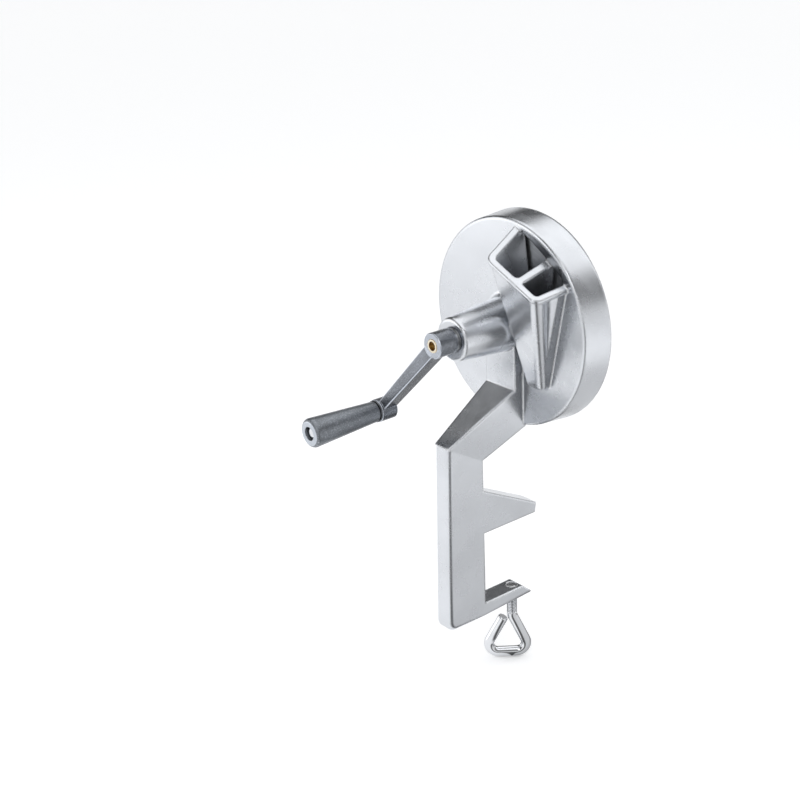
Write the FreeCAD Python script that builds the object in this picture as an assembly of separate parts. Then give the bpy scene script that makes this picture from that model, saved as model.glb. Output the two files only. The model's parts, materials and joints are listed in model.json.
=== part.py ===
import FreeCAD, Part
import math
import os

# Hand cranked bean slicer that clamps to a table edge. Millimetres.
# The origin lies on the upper jaw's table face, in the plane of the front plate's face and in
# the stand's middle plane. +Z is up, +Y runs from the crank to the knife disc, over the table.

# Casting: crank axis, front plate and pan
AXIS_HEIGHT = 116.0
PLATE_RADIUS = 57.5
PLATE_THICKNESS = 3.5
PLATE_EDGE_ROUND = 1.5
PAN_DEPTH = 17.8
PAN_DRAFT = 1.4
PAN_WALL = 2.8

# Casting: bearing tube
TUBE_LENGTH = 39.7
TUBE_END_RADIUS = 11.8
TUBE_ROOT_RADIUS = 15.2
TUBE_END_ROUND = 1.8
TUBE_ROOT_ROUND = 2.5

# Casting: column, bend and stand
COLUMN_WIDTH = 23.0
COLUMN_STANDOFF = 6.0
COLUMN_DROP = 34.5
COLUMN_FOOT_DEPTH = 1.0
STAND_WIDTH = 12.0
STAND_REACH = 49.0
STAND_LEAN = 3.0
STAND_DEPTH = 24.0
KNEE_DROP = 58.0
INNER_KNEE_DROP = 71.5
CASTING_ROUND = 3.2
EDGE_ROUND = 0.7

# Casting: jaws
UPPER_JAW_REACH = 15.0
UPPER_JAW_ROOT_HEIGHT = 26.2
UPPER_JAW_TIP_HEIGHT = 6.0
CLAMP_GAP = 44.0
LOWER_JAW_THICKNESS = 7.4
LOWER_JAW_SLOPE = 1.6
LOWER_JAW_BEVEL = 7.0
LOWER_JAW_LIP = 1.7
LOWER_JAW_LAND = 0.5
JAW_TIP_TAPER = 1.0
FOOT_ROUND = 5.0

# Casting: feed chute, its corners measured from the crank axis
CHUTE_LEFT = 8.0
CHUTE_WIDTH = 35.9
CHUTE_REACH = 21.6
MOUTH_FRONT_RISE = 42.4
MOUTH_FRONT_FALL = 23.6
MOUTH_BACK_RISE = 53.5
MOUTH_BACK_FALL = 34.0
CHUTE_TOE_LEFT = 18.3
CHUTE_TOE_WIDTH = 13.4
CHUTE_TOE_DROP = 30.0
CHUTE_TOE_REACH = 2.0
CHUTE_WALL = 3.2
CHUTE_FRONT_ROUND = 4.0
CHUTE_TOE_ROUND = 3.0
MOUTH_ROUND = 1.1
CHANNEL_ROUND = 3.0
CHANNEL_ROUND_SHARE = 0.4
WIDE_CHANNEL = 14.4
WEB_THICKNESS = 4.2
COLLAR_HEIGHT = 2.6
COLLAR_PROUD = 0.9
FLUTE_RADIUS = 9.5
FLUTE_BITE = 1.8
SCOOP_DEPTH = 2.6
SCOOP_RIM = 3.0
SCOOP_WIDTH = 8.0
SCOOP_RIM_DEPTH = 0.2
SCOOP_LAP = 1.0

# Shaft and bushes
SHAFT_RADIUS = 4.0
BUSH_RADIUS = 6.0
BUSH_LENGTH = 12.0
RUNNING_FIT = 0.05
WASHER_THICKNESS = 1.0
THRUST_WASHER_RADIUS = 6.5
END_PLAY = 0.15

# Knife disc, blades and their screws
DISC_RIM_GAP = 2.2
DISC_THICKNESS = 4.0
DISC_EDGE_ROUND = 0.8
DISC_GAP = 1.6
DISC_HUB_RADIUS = 10.0
DISC_HUB_RISE = 1.8
DISC_SEAT_RADIUS = 3.4
DISC_SEAT_FLAT = 2.6
BLADE_COUNT = 3
BLADE_INNER = 14.0
BLADE_RIM_MARGIN = 4.5
BLADE_WIDTH = 11.0
BLADE_THICKNESS = 0.9
BLADE_TILT = 12.0
BLADE_PROUD = 0.9
BLADE_OVERHANG = 1.6
BLADE_BEVEL = 0.63
WINDOW_WIDTH = 7.0
BLADE_SCREW_RADIUS = 1.5
BLADE_SCREW_HEAD = 2.7
BLADE_SCREW_HEAD_RISE = 1.5
BLADE_SCREW_CROWN = 0.5
BLADE_SCREW_SLOT = 0.7
BLADE_SCREW_SHORT = 0.3
BLADE_SCREW_LINE = 0.62
BLADE_SCREW_INSET = 0.22
SEAT_CLEARANCE = 0.1

# Nut and washer behind the disc
NUT_ACROSS_FLATS = 10.0
NUT_HEIGHT = 4.0
THREAD_RADIUS = 3.0
DISC_WASHER_RADIUS = 6.2
SHAFT_TAIL = 1.0

# Crank
HUB_RADIUS = 7.0
HUB_LENGTH = 11.8
INSERT_RADIUS = 3.7
INSERT_BORE = 2.5
INSERT_OPEN_DEPTH = 3.5
INSERT_PROUD = 0.2
CRANK_RADIUS = 61.0
CRANK_ANGLE = 48.6
CRANK_OFFSET = 9.7
ARM_ROOT_WIDTH = 7.8
ARM_TIP_WIDTH = 5.6
ARM_TIP_DEPTH = 10.0
ARM_ROUND = 0.9
ARM_ROOT_SET_BACK = 0.6
ARM_TIP_SET_BACK = 0.5
HUB_CHAMFER = 0.5
BOSS_RADIUS = 6.4
BOSS_ROUND = 0.6

# Grip and its pin
GRIP_LENGTH = 43.8
GRIP_INNER_RADIUS = 5.7
GRIP_OUTER_RADIUS = 8.2
GRIP_END_ROUND = 2.4
GRIP_NECK_ROUND = 0.6
GRIP_RECESS_RADIUS = 3.8
GRIP_RECESS_DEPTH = 3.0
PIN_RADIUS = 2.5
PIN_HEAD_RADIUS = 3.1
PIN_HEAD_RISE = 1.3
PIN_HEAD_ROUND = 1.17
RIVET_RADIUS = 3.3
PIN_RIVET_RISE = 0.8
PIN_RIVET_ROUND = 0.48
PRESS_GAP = 0.01
COLLAR_RING_THICKNESS = 0.8
COLLAR_RING_RADIUS = 6.1
GRIP_END_PLAY = 0.2

# Clamp screw: one rod, threaded above and bent into a loop below
SCREW_REACH = 0.5
SCREW_RADIUS = 3.0
SCREW_THREAD_BELOW_JAW = 10.4
LOOP_WIDTH = 29.5
LOOP_DROP = 27.5
LOOP_BEND = 5.6
LOOP_BEND_SHARE = 0.45
LOOP_TURN = 52.0
LOOP_END_GAP = 0.3
TIP_RADIUS = 2.4
TIP_HEIGHT = 2.0
TIP_CHAMFER = 0.4
TIP_STEM_RADIUS = 1.2
TIP_STEM_LENGTH = 2.5
TIP_SOCKET_ROOM = 0.5

# How far a cutting shape runs past the face it opens
PAST = 1.0

# Places that follow from the sizes above
ALONG = FreeCAD.Vector(0, 1, 0)
DISC_RADIUS = PLATE_RADIUS - PAN_WALL - DISC_RIM_GAP
BLADE_LENGTH = DISC_RADIUS - BLADE_INNER - BLADE_RIM_MARGIN
DISC_FRONT = PLATE_THICKNESS + DISC_GAP
DISC_BACK = DISC_FRONT + DISC_THICKNESS
HUB_BACK = DISC_BACK + DISC_HUB_RISE
WASHER_BACK = HUB_BACK + WASHER_THICKNESS
NUT_BACK = WASHER_BACK + NUT_HEIGHT
CRANK_SEAT = -TUBE_LENGTH - WASHER_THICKNESS - 2 * END_PLAY
HUB_FRONT = CRANK_SEAT - HUB_LENGTH
BOSS_BACK = CRANK_SEAT - CRANK_OFFSET
BOSS_FRONT = BOSS_BACK - ARM_TIP_DEPTH
RING_FRONT = BOSS_FRONT - COLLAR_RING_THICKNESS
GRIP_START = RING_FRONT - GRIP_END_PLAY
GRIP_END = GRIP_START - GRIP_LENGTH
GRIP_X = -CRANK_RADIUS * math.cos(math.radians(CRANK_ANGLE))
GRIP_Z = -CRANK_RADIUS * math.sin(math.radians(CRANK_ANGLE))
STAND_INNER = -STAND_REACH + STAND_DEPTH
STAND_FOOT_REACH = -STAND_REACH - STAND_LEAN
FOOT_HEIGHT = -CLAMP_GAP - LOWER_JAW_THICKNESS
CHUTE_TOP = MOUTH_BACK_RISE + 10 * PAST
SCREW_HOLE_RADIUS = SCREW_RADIUS + RUNNING_FIT
BEVEL_START = SCREW_REACH + SCREW_HOLE_RADIUS + LOWER_JAW_LAND
SCREW_TOP = -CLAMP_GAP - TIP_HEIGHT - 2 * RUNNING_FIT


def from_axis(x, y, z):
    """A point measured from the crank axis and the front plate's face."""
    return FreeCAD.Vector(x, y, z + AXIS_HEIGHT)


def rod(radius, start, end, x=0.0, z=0.0):
    """A cylinder along Y, placed from the crank axis."""
    low = min(start, end)
    return Part.makeCylinder(radius, abs(end - start), from_axis(x, low, z), ALONG)


def turned(profile):
    """A turned solid about the crank axis; the profile is (radius, y) pairs."""
    points = [from_axis(radius, y, 0) for radius, y in profile]
    face = Part.Face(Part.makePolygon(points + points[:1]))
    return face.revolve(from_axis(0, 0, 0), ALONG, 360)


def slab(outline, half_width):
    """A plate of even width about X = 0; the outline is (y, z) pairs from the table face."""
    points = [FreeCAD.Vector(-half_width, y, z) for y, z in outline]
    face = Part.Face(Part.makePolygon(points + points[:1]))
    return face.extrude(FreeCAD.Vector(2 * half_width, 0, 0))


def loft(first, second):
    """A solid with straight sides between two closed outlines of corner points."""
    wires = [Part.makePolygon(list(corners) + [corners[0]]) for corners in (first, second)]
    return Part.makeLoft(wires, True, True)


def between(low, high, value, start, end):
    """Straight-line value between two ends, carried on past them."""
    return start + (end - start) * (value - low) / (high - low)


def from_centre(point):
    """Distance of a point from the crank axis."""
    return math.hypot(point.x, point.z - AXIS_HEIGHT)


def edges_near(shape, test):
    """The edges whose middle point passes the test."""
    chosen = []
    for edge in shape.Edges:
        middle = edge.valueAt((edge.FirstParameter + edge.LastParameter) / 2)
        if test(middle):
            chosen.append(edge)
    return chosen


def pan():
    """Front plate with its drafted skirt, open at the back."""
    back_radius = PLATE_RADIUS + PAN_DRAFT
    inner_radius = PLATE_RADIUS - PAN_WALL
    profile = [
        (0, 0),
        (PLATE_RADIUS, 0),
        (back_radius, PAN_DEPTH),
        (back_radius - PAN_WALL, PAN_DEPTH),
        (inner_radius, PLATE_THICKNESS),
        (0, PLATE_THICKNESS),
    ]
    shape = turned(profile)
    rim = edges_near(shape, lambda p: abs(p.y) < 0.01 and abs(from_centre(p) - PLATE_RADIUS) < 0.01)
    return shape.makeFillet(PLATE_EDGE_ROUND, rim)


def tube():
    """Conical bearing tube ahead of the plate."""
    length = TUBE_LENGTH + PLATE_THICKNESS / 2
    start = from_axis(0, -TUBE_LENGTH, 0)
    shape = Part.makeCone(TUBE_END_RADIUS, TUBE_ROOT_RADIUS, length, start, ALONG)
    front = edges_near(shape, lambda p: abs(p.y + TUBE_LENGTH) < 0.01)
    return shape.makeFillet(TUBE_END_ROUND, front)


def column():
    """Wide column under the tube, against the plate."""
    top = AXIS_HEIGHT
    outline = [
        (-COLUMN_STANDOFF, top),
        (-COLUMN_STANDOFF, top - COLUMN_DROP),
        (COLUMN_FOOT_DEPTH, top - PLATE_RADIUS),
        (PLATE_THICKNESS / 2, top - PLATE_RADIUS),
        (PLATE_THICKNESS / 2, top),
    ]
    shape = slab(outline, COLUMN_WIDTH / 2)
    front = edges_near(shape, lambda p: abs(p.y + COLUMN_STANDOFF) < 0.01 and abs(p.x) > 1)
    return shape.makeFillet(EDGE_ROUND, front)


def bend():
    """Slanted limb that narrows from the column to the stand."""
    wide = COLUMN_WIDTH / 2
    narrow = STAND_WIDTH / 2
    upper = [
        from_axis(-wide, -COLUMN_STANDOFF, -COLUMN_DROP),
        from_axis(wide, -COLUMN_STANDOFF, -COLUMN_DROP),
        from_axis(wide, COLUMN_FOOT_DEPTH, -PLATE_RADIUS),
        from_axis(-wide, COLUMN_FOOT_DEPTH, -PLATE_RADIUS),
    ]
    lower = [
        from_axis(-narrow, -STAND_REACH, -KNEE_DROP),
        from_axis(narrow, -STAND_REACH, -KNEE_DROP),
        from_axis(narrow, STAND_INNER, -INNER_KNEE_DROP),
        from_axis(-narrow, STAND_INNER, -INNER_KNEE_DROP),
    ]
    shape = loft(upper, lower)
    middle = (upper[0] + lower[0]) / 2
    front = edges_near(shape, lambda p: abs(p.z - middle.z) < 1 and abs(p.y - middle.y) < 1)
    return shape.makeFillet(EDGE_ROUND, front)


def stand():
    """Upright stand with the triangular upper jaw and the lower jaw."""
    foot = FOOT_HEIGHT - LOWER_JAW_SLOPE
    bevel_end = BEVEL_START + LOWER_JAW_BEVEL
    outline = [
        (-STAND_REACH, AXIS_HEIGHT - KNEE_DROP),
        (STAND_INNER, AXIS_HEIGHT - INNER_KNEE_DROP),
        (STAND_INNER, UPPER_JAW_ROOT_HEIGHT),
        (UPPER_JAW_REACH, UPPER_JAW_TIP_HEIGHT),
        (UPPER_JAW_REACH - JAW_TIP_TAPER, 0),
        (STAND_INNER, 0),
        (STAND_INNER, -CLAMP_GAP),
        (BEVEL_START, -CLAMP_GAP),
        (bevel_end, FOOT_HEIGHT + LOWER_JAW_LIP),
        (bevel_end - JAW_TIP_TAPER, FOOT_HEIGHT),
        (STAND_INNER, foot),
        (STAND_FOOT_REACH, foot),
    ]
    side = STAND_WIDTH / 2
    shape = slab(outline, side)
    low_front = edges_near(shape, lambda p: p.y < STAND_FOOT_REACH + 0.01 and p.z < FOOT_HEIGHT)
    heel = [edge for edge in low_front if abs(edge.Length - STAND_WIDTH) < 0.01]
    shape = shape.makeFillet(FOOT_ROUND, heel)
    front = edges_near(shape, lambda p: p.y < -STAND_REACH - 0.1 and abs(p.x) > side / 2)
    shape = shape.makeFillet(CASTING_ROUND, front)
    crisp = edges_near(shape, lambda p: p.y > STAND_INNER + 0.1 and abs(p.x) > side - 0.01)
    return shape.makeFillet(EDGE_ROUND, crisp)


def chute_front(x, z, depth=0.0):
    """Y of the chute's sloping front face, or of a face that lies behind it by the depth."""
    slope_x = -(chute_corner_reach() / CHUTE_WIDTH)
    drop = MOUTH_FRONT_RISE + CHUTE_TOE_DROP
    slope_z = (CHUTE_REACH - CHUTE_TOE_REACH + slope_x * (CHUTE_TOE_LEFT - CHUTE_LEFT)) / drop
    lean = math.sqrt(1 + slope_x ** 2 + slope_z ** 2)
    face = -CHUTE_REACH + slope_x * (x - CHUTE_LEFT) - slope_z * (z - MOUTH_FRONT_RISE)
    return face + depth * lean


def chute_corner_reach():
    """How far the front face turns forward over the mouth's width to keep its edge level in Y."""
    fall = CHUTE_WIDTH * math.tan(math.radians(MOUTH_FRONT_FALL))
    drop = MOUTH_FRONT_RISE + CHUTE_TOE_DROP
    slope = (CHUTE_REACH - CHUTE_TOE_REACH) / drop
    return fall * slope


def chute_left(z):
    """X of the chute's left side at a height from the crank axis."""
    return between(-CHUTE_TOE_DROP, MOUTH_FRONT_RISE, z, CHUTE_TOE_LEFT, CHUTE_LEFT)


def chute_right(z):
    """X of the chute's right side at a height from the crank axis."""
    low = CHUTE_TOE_LEFT + CHUTE_TOE_WIDTH
    high = CHUTE_LEFT + CHUTE_WIDTH
    rise = MOUTH_FRONT_RISE - CHUTE_WIDTH * math.tan(math.radians(MOUTH_FRONT_FALL))
    return between(-CHUTE_TOE_DROP, rise, z, low, high)


def chute_section(z, left, right, depth, back):
    """Level outline of the chute or of a channel at one height."""
    return [
        from_axis(left, chute_front(left, z, depth), z),
        from_axis(right, chute_front(right, z, depth), z),
        from_axis(right, back, z),
        from_axis(left, back, z),
    ]


def chute_block(proud=0.0):
    """The chute's outer wedge, carried on above its mouth."""
    sections = []
    for z in (-CHUTE_TOE_DROP, CHUTE_TOP):
        left = chute_left(z) - proud
        right = chute_right(z) + proud
        sections.append(chute_section(z, left, right, -proud, PLATE_THICKNESS / 2))
    shape = loft(*sections)
    middle = (CHUTE_TOP - CHUTE_TOE_DROP) / 2 + AXIS_HEIGHT
    fronts = edges_near(shape, lambda p: abs(p.z - middle) < 1 and p.y < -PLATE_THICKNESS)
    shape = shape.makeFillet(CHUTE_FRONT_ROUND + proud, fronts)
    toe_height = AXIS_HEIGHT - CHUTE_TOE_DROP
    toe = edges_near(shape, lambda p: abs(p.z - toe_height) < 0.01 and p.y < PLATE_THICKNESS / 4)
    return shape.makeFillet(CHUTE_TOE_ROUND, toe)


def channel(left_share, right_share):
    """One feed channel, from above the mouth down through the plate."""
    toe = -CHUTE_TOE_DROP + 2 * CHUTE_WALL
    sections = []
    for z in (toe, CHUTE_TOP):
        outer_left = chute_left(z) + CHUTE_WALL
        outer_right = chute_right(z) - CHUTE_WALL
        span = outer_right - outer_left
        left = outer_left + left_share * span
        right = outer_left + right_share * span
        sections.append(chute_section(z, left, right, CHUTE_WALL, PLATE_THICKNESS + PAST))
    shape = loft(*sections)
    middle = (CHUTE_TOP + toe) / 2 + AXIS_HEIGHT
    fronts = edges_near(shape, lambda p: abs(p.z - middle) < 1 and p.y < 0)
    toe_width = sections[0][1].x - sections[0][0].x
    corner = min(CHANNEL_ROUND, CHANNEL_ROUND_SHARE * toe_width)
    return shape.makeFillet(corner, fronts).cut(above_mouth())


def above_mouth(shift=0.0):
    """Everything above the mouth's twisted face, which is lowered by the shift."""
    left = CHUTE_LEFT - CHUTE_WIDTH
    right = CHUTE_LEFT + 2 * CHUTE_WIDTH
    lid = 2.5 * MOUTH_BACK_RISE
    sections = []
    for y in (-2 * CHUTE_REACH, 2 * PLATE_THICKNESS):
        sections.append([
            from_axis(left, y, mouth_height(left, y) - shift),
            from_axis(right, y, mouth_height(right, y) - shift),
            from_axis(right, y, lid),
            from_axis(left, y, lid),
        ])
    return loft(*sections)


def flute():
    """Scoop along the chute's near side that runs out to a point near the plate."""
    top_z = mouth_height(CHUTE_LEFT + CHUTE_WIDTH, -CHUTE_REACH) - COLLAR_HEIGHT
    top = from_axis(chute_right(top_z) + FLUTE_RADIUS - FLUTE_BITE, -CHUTE_REACH / 2, top_z)
    point_z = -CHUTE_TOE_DROP / 3
    point_x = chute_right(point_z)
    point = from_axis(point_x, chute_front(point_x, point_z) / 2, point_z)
    direction = top - point
    return Part.makeCone(0, FLUTE_RADIUS, direction.Length, point, direction)


def channels():
    """The wide channel and the narrow one beside it."""
    inner_span = CHUTE_WIDTH - 2 * CHUTE_WALL
    wide_share = WIDE_CHANNEL / inner_span
    narrow_share = (WIDE_CHANNEL + WEB_THICKNESS) / inner_span
    return [channel(0.0, wide_share), channel(narrow_share, 1.0)]


def mouth_height(x, y):
    """Height of the mouth's twisted face above the crank axis."""
    front = MOUTH_FRONT_RISE - (x - CHUTE_LEFT) * math.tan(math.radians(MOUTH_FRONT_FALL))
    back = MOUTH_BACK_RISE - (x - CHUTE_LEFT) * math.tan(math.radians(MOUTH_BACK_FALL))
    return between(-CHUTE_REACH, 0.0, y, front, back)


def chute():
    """Feed chute with its collar, its channels cut and its mouth's edges rounded."""
    body = chute_block().cut(flute())
    collar = chute_block(COLLAR_PROUD).cut(above_mouth()).common(above_mouth(COLLAR_HEIGHT))
    shape = body.cut(above_mouth()).fuse(collar).cut(channels()).removeSplitter()

    def on_mouth(point):
        return point.y < -0.05 and abs(point.z - AXIS_HEIGHT - mouth_height(point.x, point.y)) < 0.05

    return shape.makeFillet(MOUTH_ROUND, edges_near(shape, on_mouth))


def scoop():
    """Curved lead-in between the mouth's back edge and the plate's rim."""
    outer = PLATE_RADIUS - SCOOP_RIM
    inner = outer - SCOOP_WIDTH
    ring = turned([(inner, -PAST), (outer, -PAST), (outer, SCOOP_RIM_DEPTH), (inner, SCOOP_DEPTH)])
    start = from_axis(CHUTE_LEFT + CHUTE_WALL, -PLATE_THICKNESS, 0)
    span = Part.makeBox(CHUTE_WIDTH - 2 * CHUTE_WALL, 2 * PLATE_THICKNESS, PLATE_RADIUS, start)
    return ring.common(span).common(above_mouth(SCOOP_LAP))


def housing():
    """The whole aluminium casting."""
    head = pan().fuse(tube()).removeSplitter()
    ring = edges_near(head, lambda p: abs(p.y) < 0.01 and from_centre(p) < TUBE_ROOT_RADIUS + 1)
    head = head.makeFillet(TUBE_ROOT_ROUND, ring)
    base = head.fuse([column(), bend(), stand()]).removeSplitter().cut(channels())
    shape = base.fuse(chute()).removeSplitter()
    screw_hole_start = FreeCAD.Vector(0, SCREW_REACH, -1.5 * CLAMP_GAP)
    return shape.cut([
        scoop(),
        rod(BUSH_RADIUS, -TUBE_LENGTH - PAST, PLATE_THICKNESS + PAST),
        Part.makeCylinder(SCREW_HOLE_RADIUS, CLAMP_GAP, screw_hole_start),
    ])


def bush(start):
    """Plain bronze bush in the tube."""
    end = start + BUSH_LENGTH
    return rod(BUSH_RADIUS, start, end).cut(rod(SHAFT_RADIUS + RUNNING_FIT, start - PAST, end + PAST))


def drive_shaft():
    """Stepped shaft: crank thread in front, flatted disc seat and nut thread behind."""
    insert_end = HUB_FRONT + INSERT_OPEN_DEPTH
    body = rod(SHAFT_RADIUS, CRANK_SEAT, DISC_FRONT)
    front = rod(INSERT_BORE - RUNNING_FIT, insert_end, CRANK_SEAT)
    seat = rod(DISC_SEAT_RADIUS, DISC_FRONT, HUB_BACK).common(flatted_block(DISC_SEAT_FLAT))
    tail = rod(THREAD_RADIUS, HUB_BACK, NUT_BACK + SHAFT_TAIL)
    return body.fuse([front, seat, tail]).removeSplitter()


def flatted_block(flat):
    """Block that gives the shaft's seat, or its bore, two flats."""
    corner = from_axis(-2 * SHAFT_RADIUS, DISC_FRONT - PAST, -flat)
    return Part.makeBox(4 * SHAFT_RADIUS, PAN_DEPTH, 2 * flat, corner)


def at_turn(shape, turn):
    """Turns a shape made at the first blade's place about the crank axis."""
    shape.rotate(from_axis(0, 0, 0), ALONG, turn)
    return shape


def tilted_bar(width, thickness, length, start=BLADE_INNER, behind=0.0):
    """A bar in a blade's tilted plane: radial along X, its cutting side towards -Z."""
    bar = Part.makeBox(length, thickness, width, FreeCAD.Vector(start, behind, 0))
    bar.rotate(FreeCAD.Vector(0, 0, 0), FreeCAD.Vector(1, 0, 0), -BLADE_TILT)
    bar.translate(from_axis(0, DISC_FRONT - BLADE_PROUD, -BLADE_OVERHANG))
    return bar


def blade(turn):
    """One stainless blade with a ground cutting edge and two threaded holes."""
    shape = tilted_bar(BLADE_WIDTH, BLADE_THICKNESS, BLADE_LENGTH)
    lowest = min(corner.Z for corner in shape.Vertexes)
    cutting = edges_near(shape, lambda p: abs(p.z - lowest) < 0.01 and abs(p.x - BLADE_INNER) > 1)
    cutting = [line for line in cutting if line.Length > BLADE_LENGTH - 1]
    shape = shape.makeChamfer(BLADE_BEVEL, cutting[:1])
    for x, z in screw_places():
        hole = rod(BLADE_SCREW_RADIUS + RUNNING_FIT, DISC_FRONT - DISC_THICKNESS, DISC_BACK, x, z)
        shape = shape.cut(hole)
    return at_turn(shape, turn)


def screw_places():
    """The two screw centres of the first blade, as x and z from the crank axis."""
    middle = BLADE_WIDTH * BLADE_SCREW_LINE - BLADE_OVERHANG
    shares = (BLADE_SCREW_INSET, 1 - BLADE_SCREW_INSET)
    return [(BLADE_INNER + share * BLADE_LENGTH, middle) for share in shares]


def blade_cuts(turn):
    """The window, the tilted seat and the two screw holes that one blade needs in the disc."""
    corner = from_axis(BLADE_INNER, DISC_FRONT - DISC_THICKNESS, -WINDOW_WIDTH)
    window = Part.makeBox(BLADE_LENGTH, 3 * DISC_THICKNESS, WINDOW_WIDTH, corner)
    behind = -2 * BLADE_THICKNESS - BLADE_PROUD
    length = BLADE_LENGTH + 2 * SEAT_CLEARANCE
    start = BLADE_INNER - SEAT_CLEARANCE
    seat = tilted_bar(BLADE_WIDTH + SEAT_CLEARANCE, BLADE_THICKNESS - behind, length, start, behind)
    cuts = [window, seat]
    for x, z in screw_places():
        cuts.append(rod(BLADE_SCREW_RADIUS + RUNNING_FIT, DISC_FRONT - PAST, DISC_BACK + PAST, x, z))
    return [at_turn(cut, turn) for cut in cuts]


def knife_disc():
    """Cast disc with a window and a tilted seat for each blade, and a raised hub."""
    shape = rod(DISC_RADIUS, DISC_FRONT, DISC_BACK)
    rim = [edge for edge in shape.Edges if edge.Length > DISC_RADIUS]
    shape = shape.makeFillet(DISC_EDGE_ROUND, rim)
    shape = shape.fuse(rod(DISC_HUB_RADIUS, DISC_BACK - PAST, HUB_BACK)).removeSplitter()
    bore = rod(DISC_SEAT_RADIUS + RUNNING_FIT, DISC_FRONT - PAST, HUB_BACK + PAST)
    cuts = [bore.common(flatted_block(DISC_SEAT_FLAT + RUNNING_FIT))]
    for index in range(BLADE_COUNT):
        cuts += blade_cuts(360.0 * index / BLADE_COUNT)
    return shape.cut(cuts)


def blade_screw(x, z):
    """One slotted screw with its head behind the disc."""
    head_back = DISC_BACK + BLADE_SCREW_HEAD_RISE
    head = rod(BLADE_SCREW_HEAD, DISC_BACK, head_back, x, z)
    crown = edges_near(head, lambda p: p.y > head_back - 0.01)
    head = head.makeFillet(BLADE_SCREW_CROWN, crown)
    length = 3 * BLADE_SCREW_HEAD
    width = BLADE_SCREW_SLOT
    corner = from_axis(x - length / 2, head_back - width, z - width / 2)
    slotted = head.cut(Part.makeBox(length, width + PAST, width, corner))
    shank = rod(BLADE_SCREW_RADIUS, DISC_FRONT + BLADE_SCREW_SHORT, DISC_BACK, x, z)
    return slotted.fuse(shank).removeSplitter()


def blade_screws():
    """Two screws for each blade."""
    screws = []
    for index in range(BLADE_COUNT):
        turn = 360.0 * index / BLADE_COUNT
        screws += [at_turn(blade_screw(x, z), turn) for x, z in screw_places()]
    return Part.makeCompound(screws)


def washer(outer, inner, start):
    """Flat ring about the crank axis."""
    end = start + WASHER_THICKNESS
    return rod(outer, start, end).cut(rod(inner, start - PAST, end + PAST))


def disc_nut():
    """Hexagon nut with rounded corners behind the disc."""
    corner = NUT_ACROSS_FLATS / math.sqrt(3)
    points = []
    for index in range(6):
        angle = math.radians(60 * index)
        points.append(from_axis(corner * math.cos(angle), WASHER_BACK, corner * math.sin(angle)))
    prism = Part.Face(Part.makePolygon(points + points[:1])).extrude(FreeCAD.Vector(0, NUT_HEIGHT, 0))
    start = from_axis(0, WASHER_BACK, 0)
    crown = Part.makeCone(corner + NUT_HEIGHT, NUT_ACROSS_FLATS / 2, NUT_HEIGHT, start, ALONG)
    bore = rod(THREAD_RADIUS + RUNNING_FIT, WASHER_BACK - PAST, NUT_BACK + PAST)
    return prism.common(crown).cut(bore)


def arm_section(radius, width, front, back):
    """Corners of the arm's section at a distance from the crank axis."""
    angle = math.radians(CRANK_ANGLE)
    across = FreeCAD.Vector(math.sin(angle), 0, -math.cos(angle)) * (width / 2)
    centre = from_axis(-radius * math.cos(angle), 0, -radius * math.sin(angle))
    corners = []
    for side, y in ((-1, front), (1, front), (1, back), (-1, back)):
        corners.append(centre + across * side + FreeCAD.Vector(0, y, 0))
    return corners


def crank_arm():
    """Hub, tapered arm that leans out to clear the stand, and boss for the grip's pin."""
    root = arm_section(0.0, ARM_ROOT_WIDTH, HUB_FRONT + ARM_ROOT_SET_BACK, CRANK_SEAT)
    tip = arm_section(CRANK_RADIUS, ARM_TIP_WIDTH, BOSS_FRONT + ARM_TIP_SET_BACK, BOSS_BACK)
    arm = loft(root, tip)
    half_way = CRANK_RADIUS / 2
    arm = arm.makeFillet(ARM_ROUND, edges_near(arm, lambda p: abs(from_centre(p) - half_way) < 1))
    hub = rod(HUB_RADIUS, HUB_FRONT, CRANK_SEAT)
    hub = hub.makeChamfer(HUB_CHAMFER, edges_near(hub, lambda p: abs(p.y - HUB_FRONT) < 0.01))
    boss = rod(BOSS_RADIUS, BOSS_FRONT, BOSS_BACK, GRIP_X, GRIP_Z)
    boss = boss.makeFillet(BOSS_ROUND, edges_near(boss, lambda p: abs(p.y - BOSS_FRONT) < 0.01))
    spot_face = rod(RIVET_RADIUS + SEAT_CLEARANCE, BOSS_BACK, BOSS_BACK + CRANK_OFFSET, GRIP_X, GRIP_Z)
    return arm.fuse([hub, boss]).removeSplitter().cut([
        rod(INSERT_RADIUS, HUB_FRONT - PAST, CRANK_SEAT + PAST),
        rod(PIN_RADIUS + PRESS_GAP, BOSS_FRONT - PAST, BOSS_BACK + PAST, GRIP_X, GRIP_Z),
        spot_face,
    ])


def crank_insert():
    """Brass insert in the hub, tapped for the shaft."""
    front = HUB_FRONT - INSERT_PROUD
    shape = rod(INSERT_RADIUS, front, CRANK_SEAT)
    shape = shape.makeChamfer(INSERT_PROUD, edges_near(shape, lambda p: abs(p.y - front) < 0.01))
    return shape.cut(rod(INSERT_BORE, front - PAST, CRANK_SEAT + PAST))


def grip():
    """Tapered grip, thicker at its free end, with a recess for the pin's head."""
    end = from_axis(GRIP_X, GRIP_END, GRIP_Z)
    shape = Part.makeCone(GRIP_OUTER_RADIUS, GRIP_INNER_RADIUS, GRIP_LENGTH, end, ALONG)
    outer_rim = edges_near(shape, lambda p: abs(p.y - GRIP_END) < 0.01)
    shape = shape.makeFillet(GRIP_END_ROUND, outer_rim)
    inner_rim = edges_near(shape, lambda p: abs(p.y - GRIP_START) < 0.01)
    shape = shape.makeFillet(GRIP_NECK_ROUND, inner_rim)
    return shape.cut([
        rod(PIN_RADIUS + RUNNING_FIT, GRIP_END - PAST, GRIP_START + PAST, GRIP_X, GRIP_Z),
        rod(GRIP_RECESS_RADIUS, GRIP_END - PAST, GRIP_END + GRIP_RECESS_DEPTH, GRIP_X, GRIP_Z),
    ])


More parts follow.
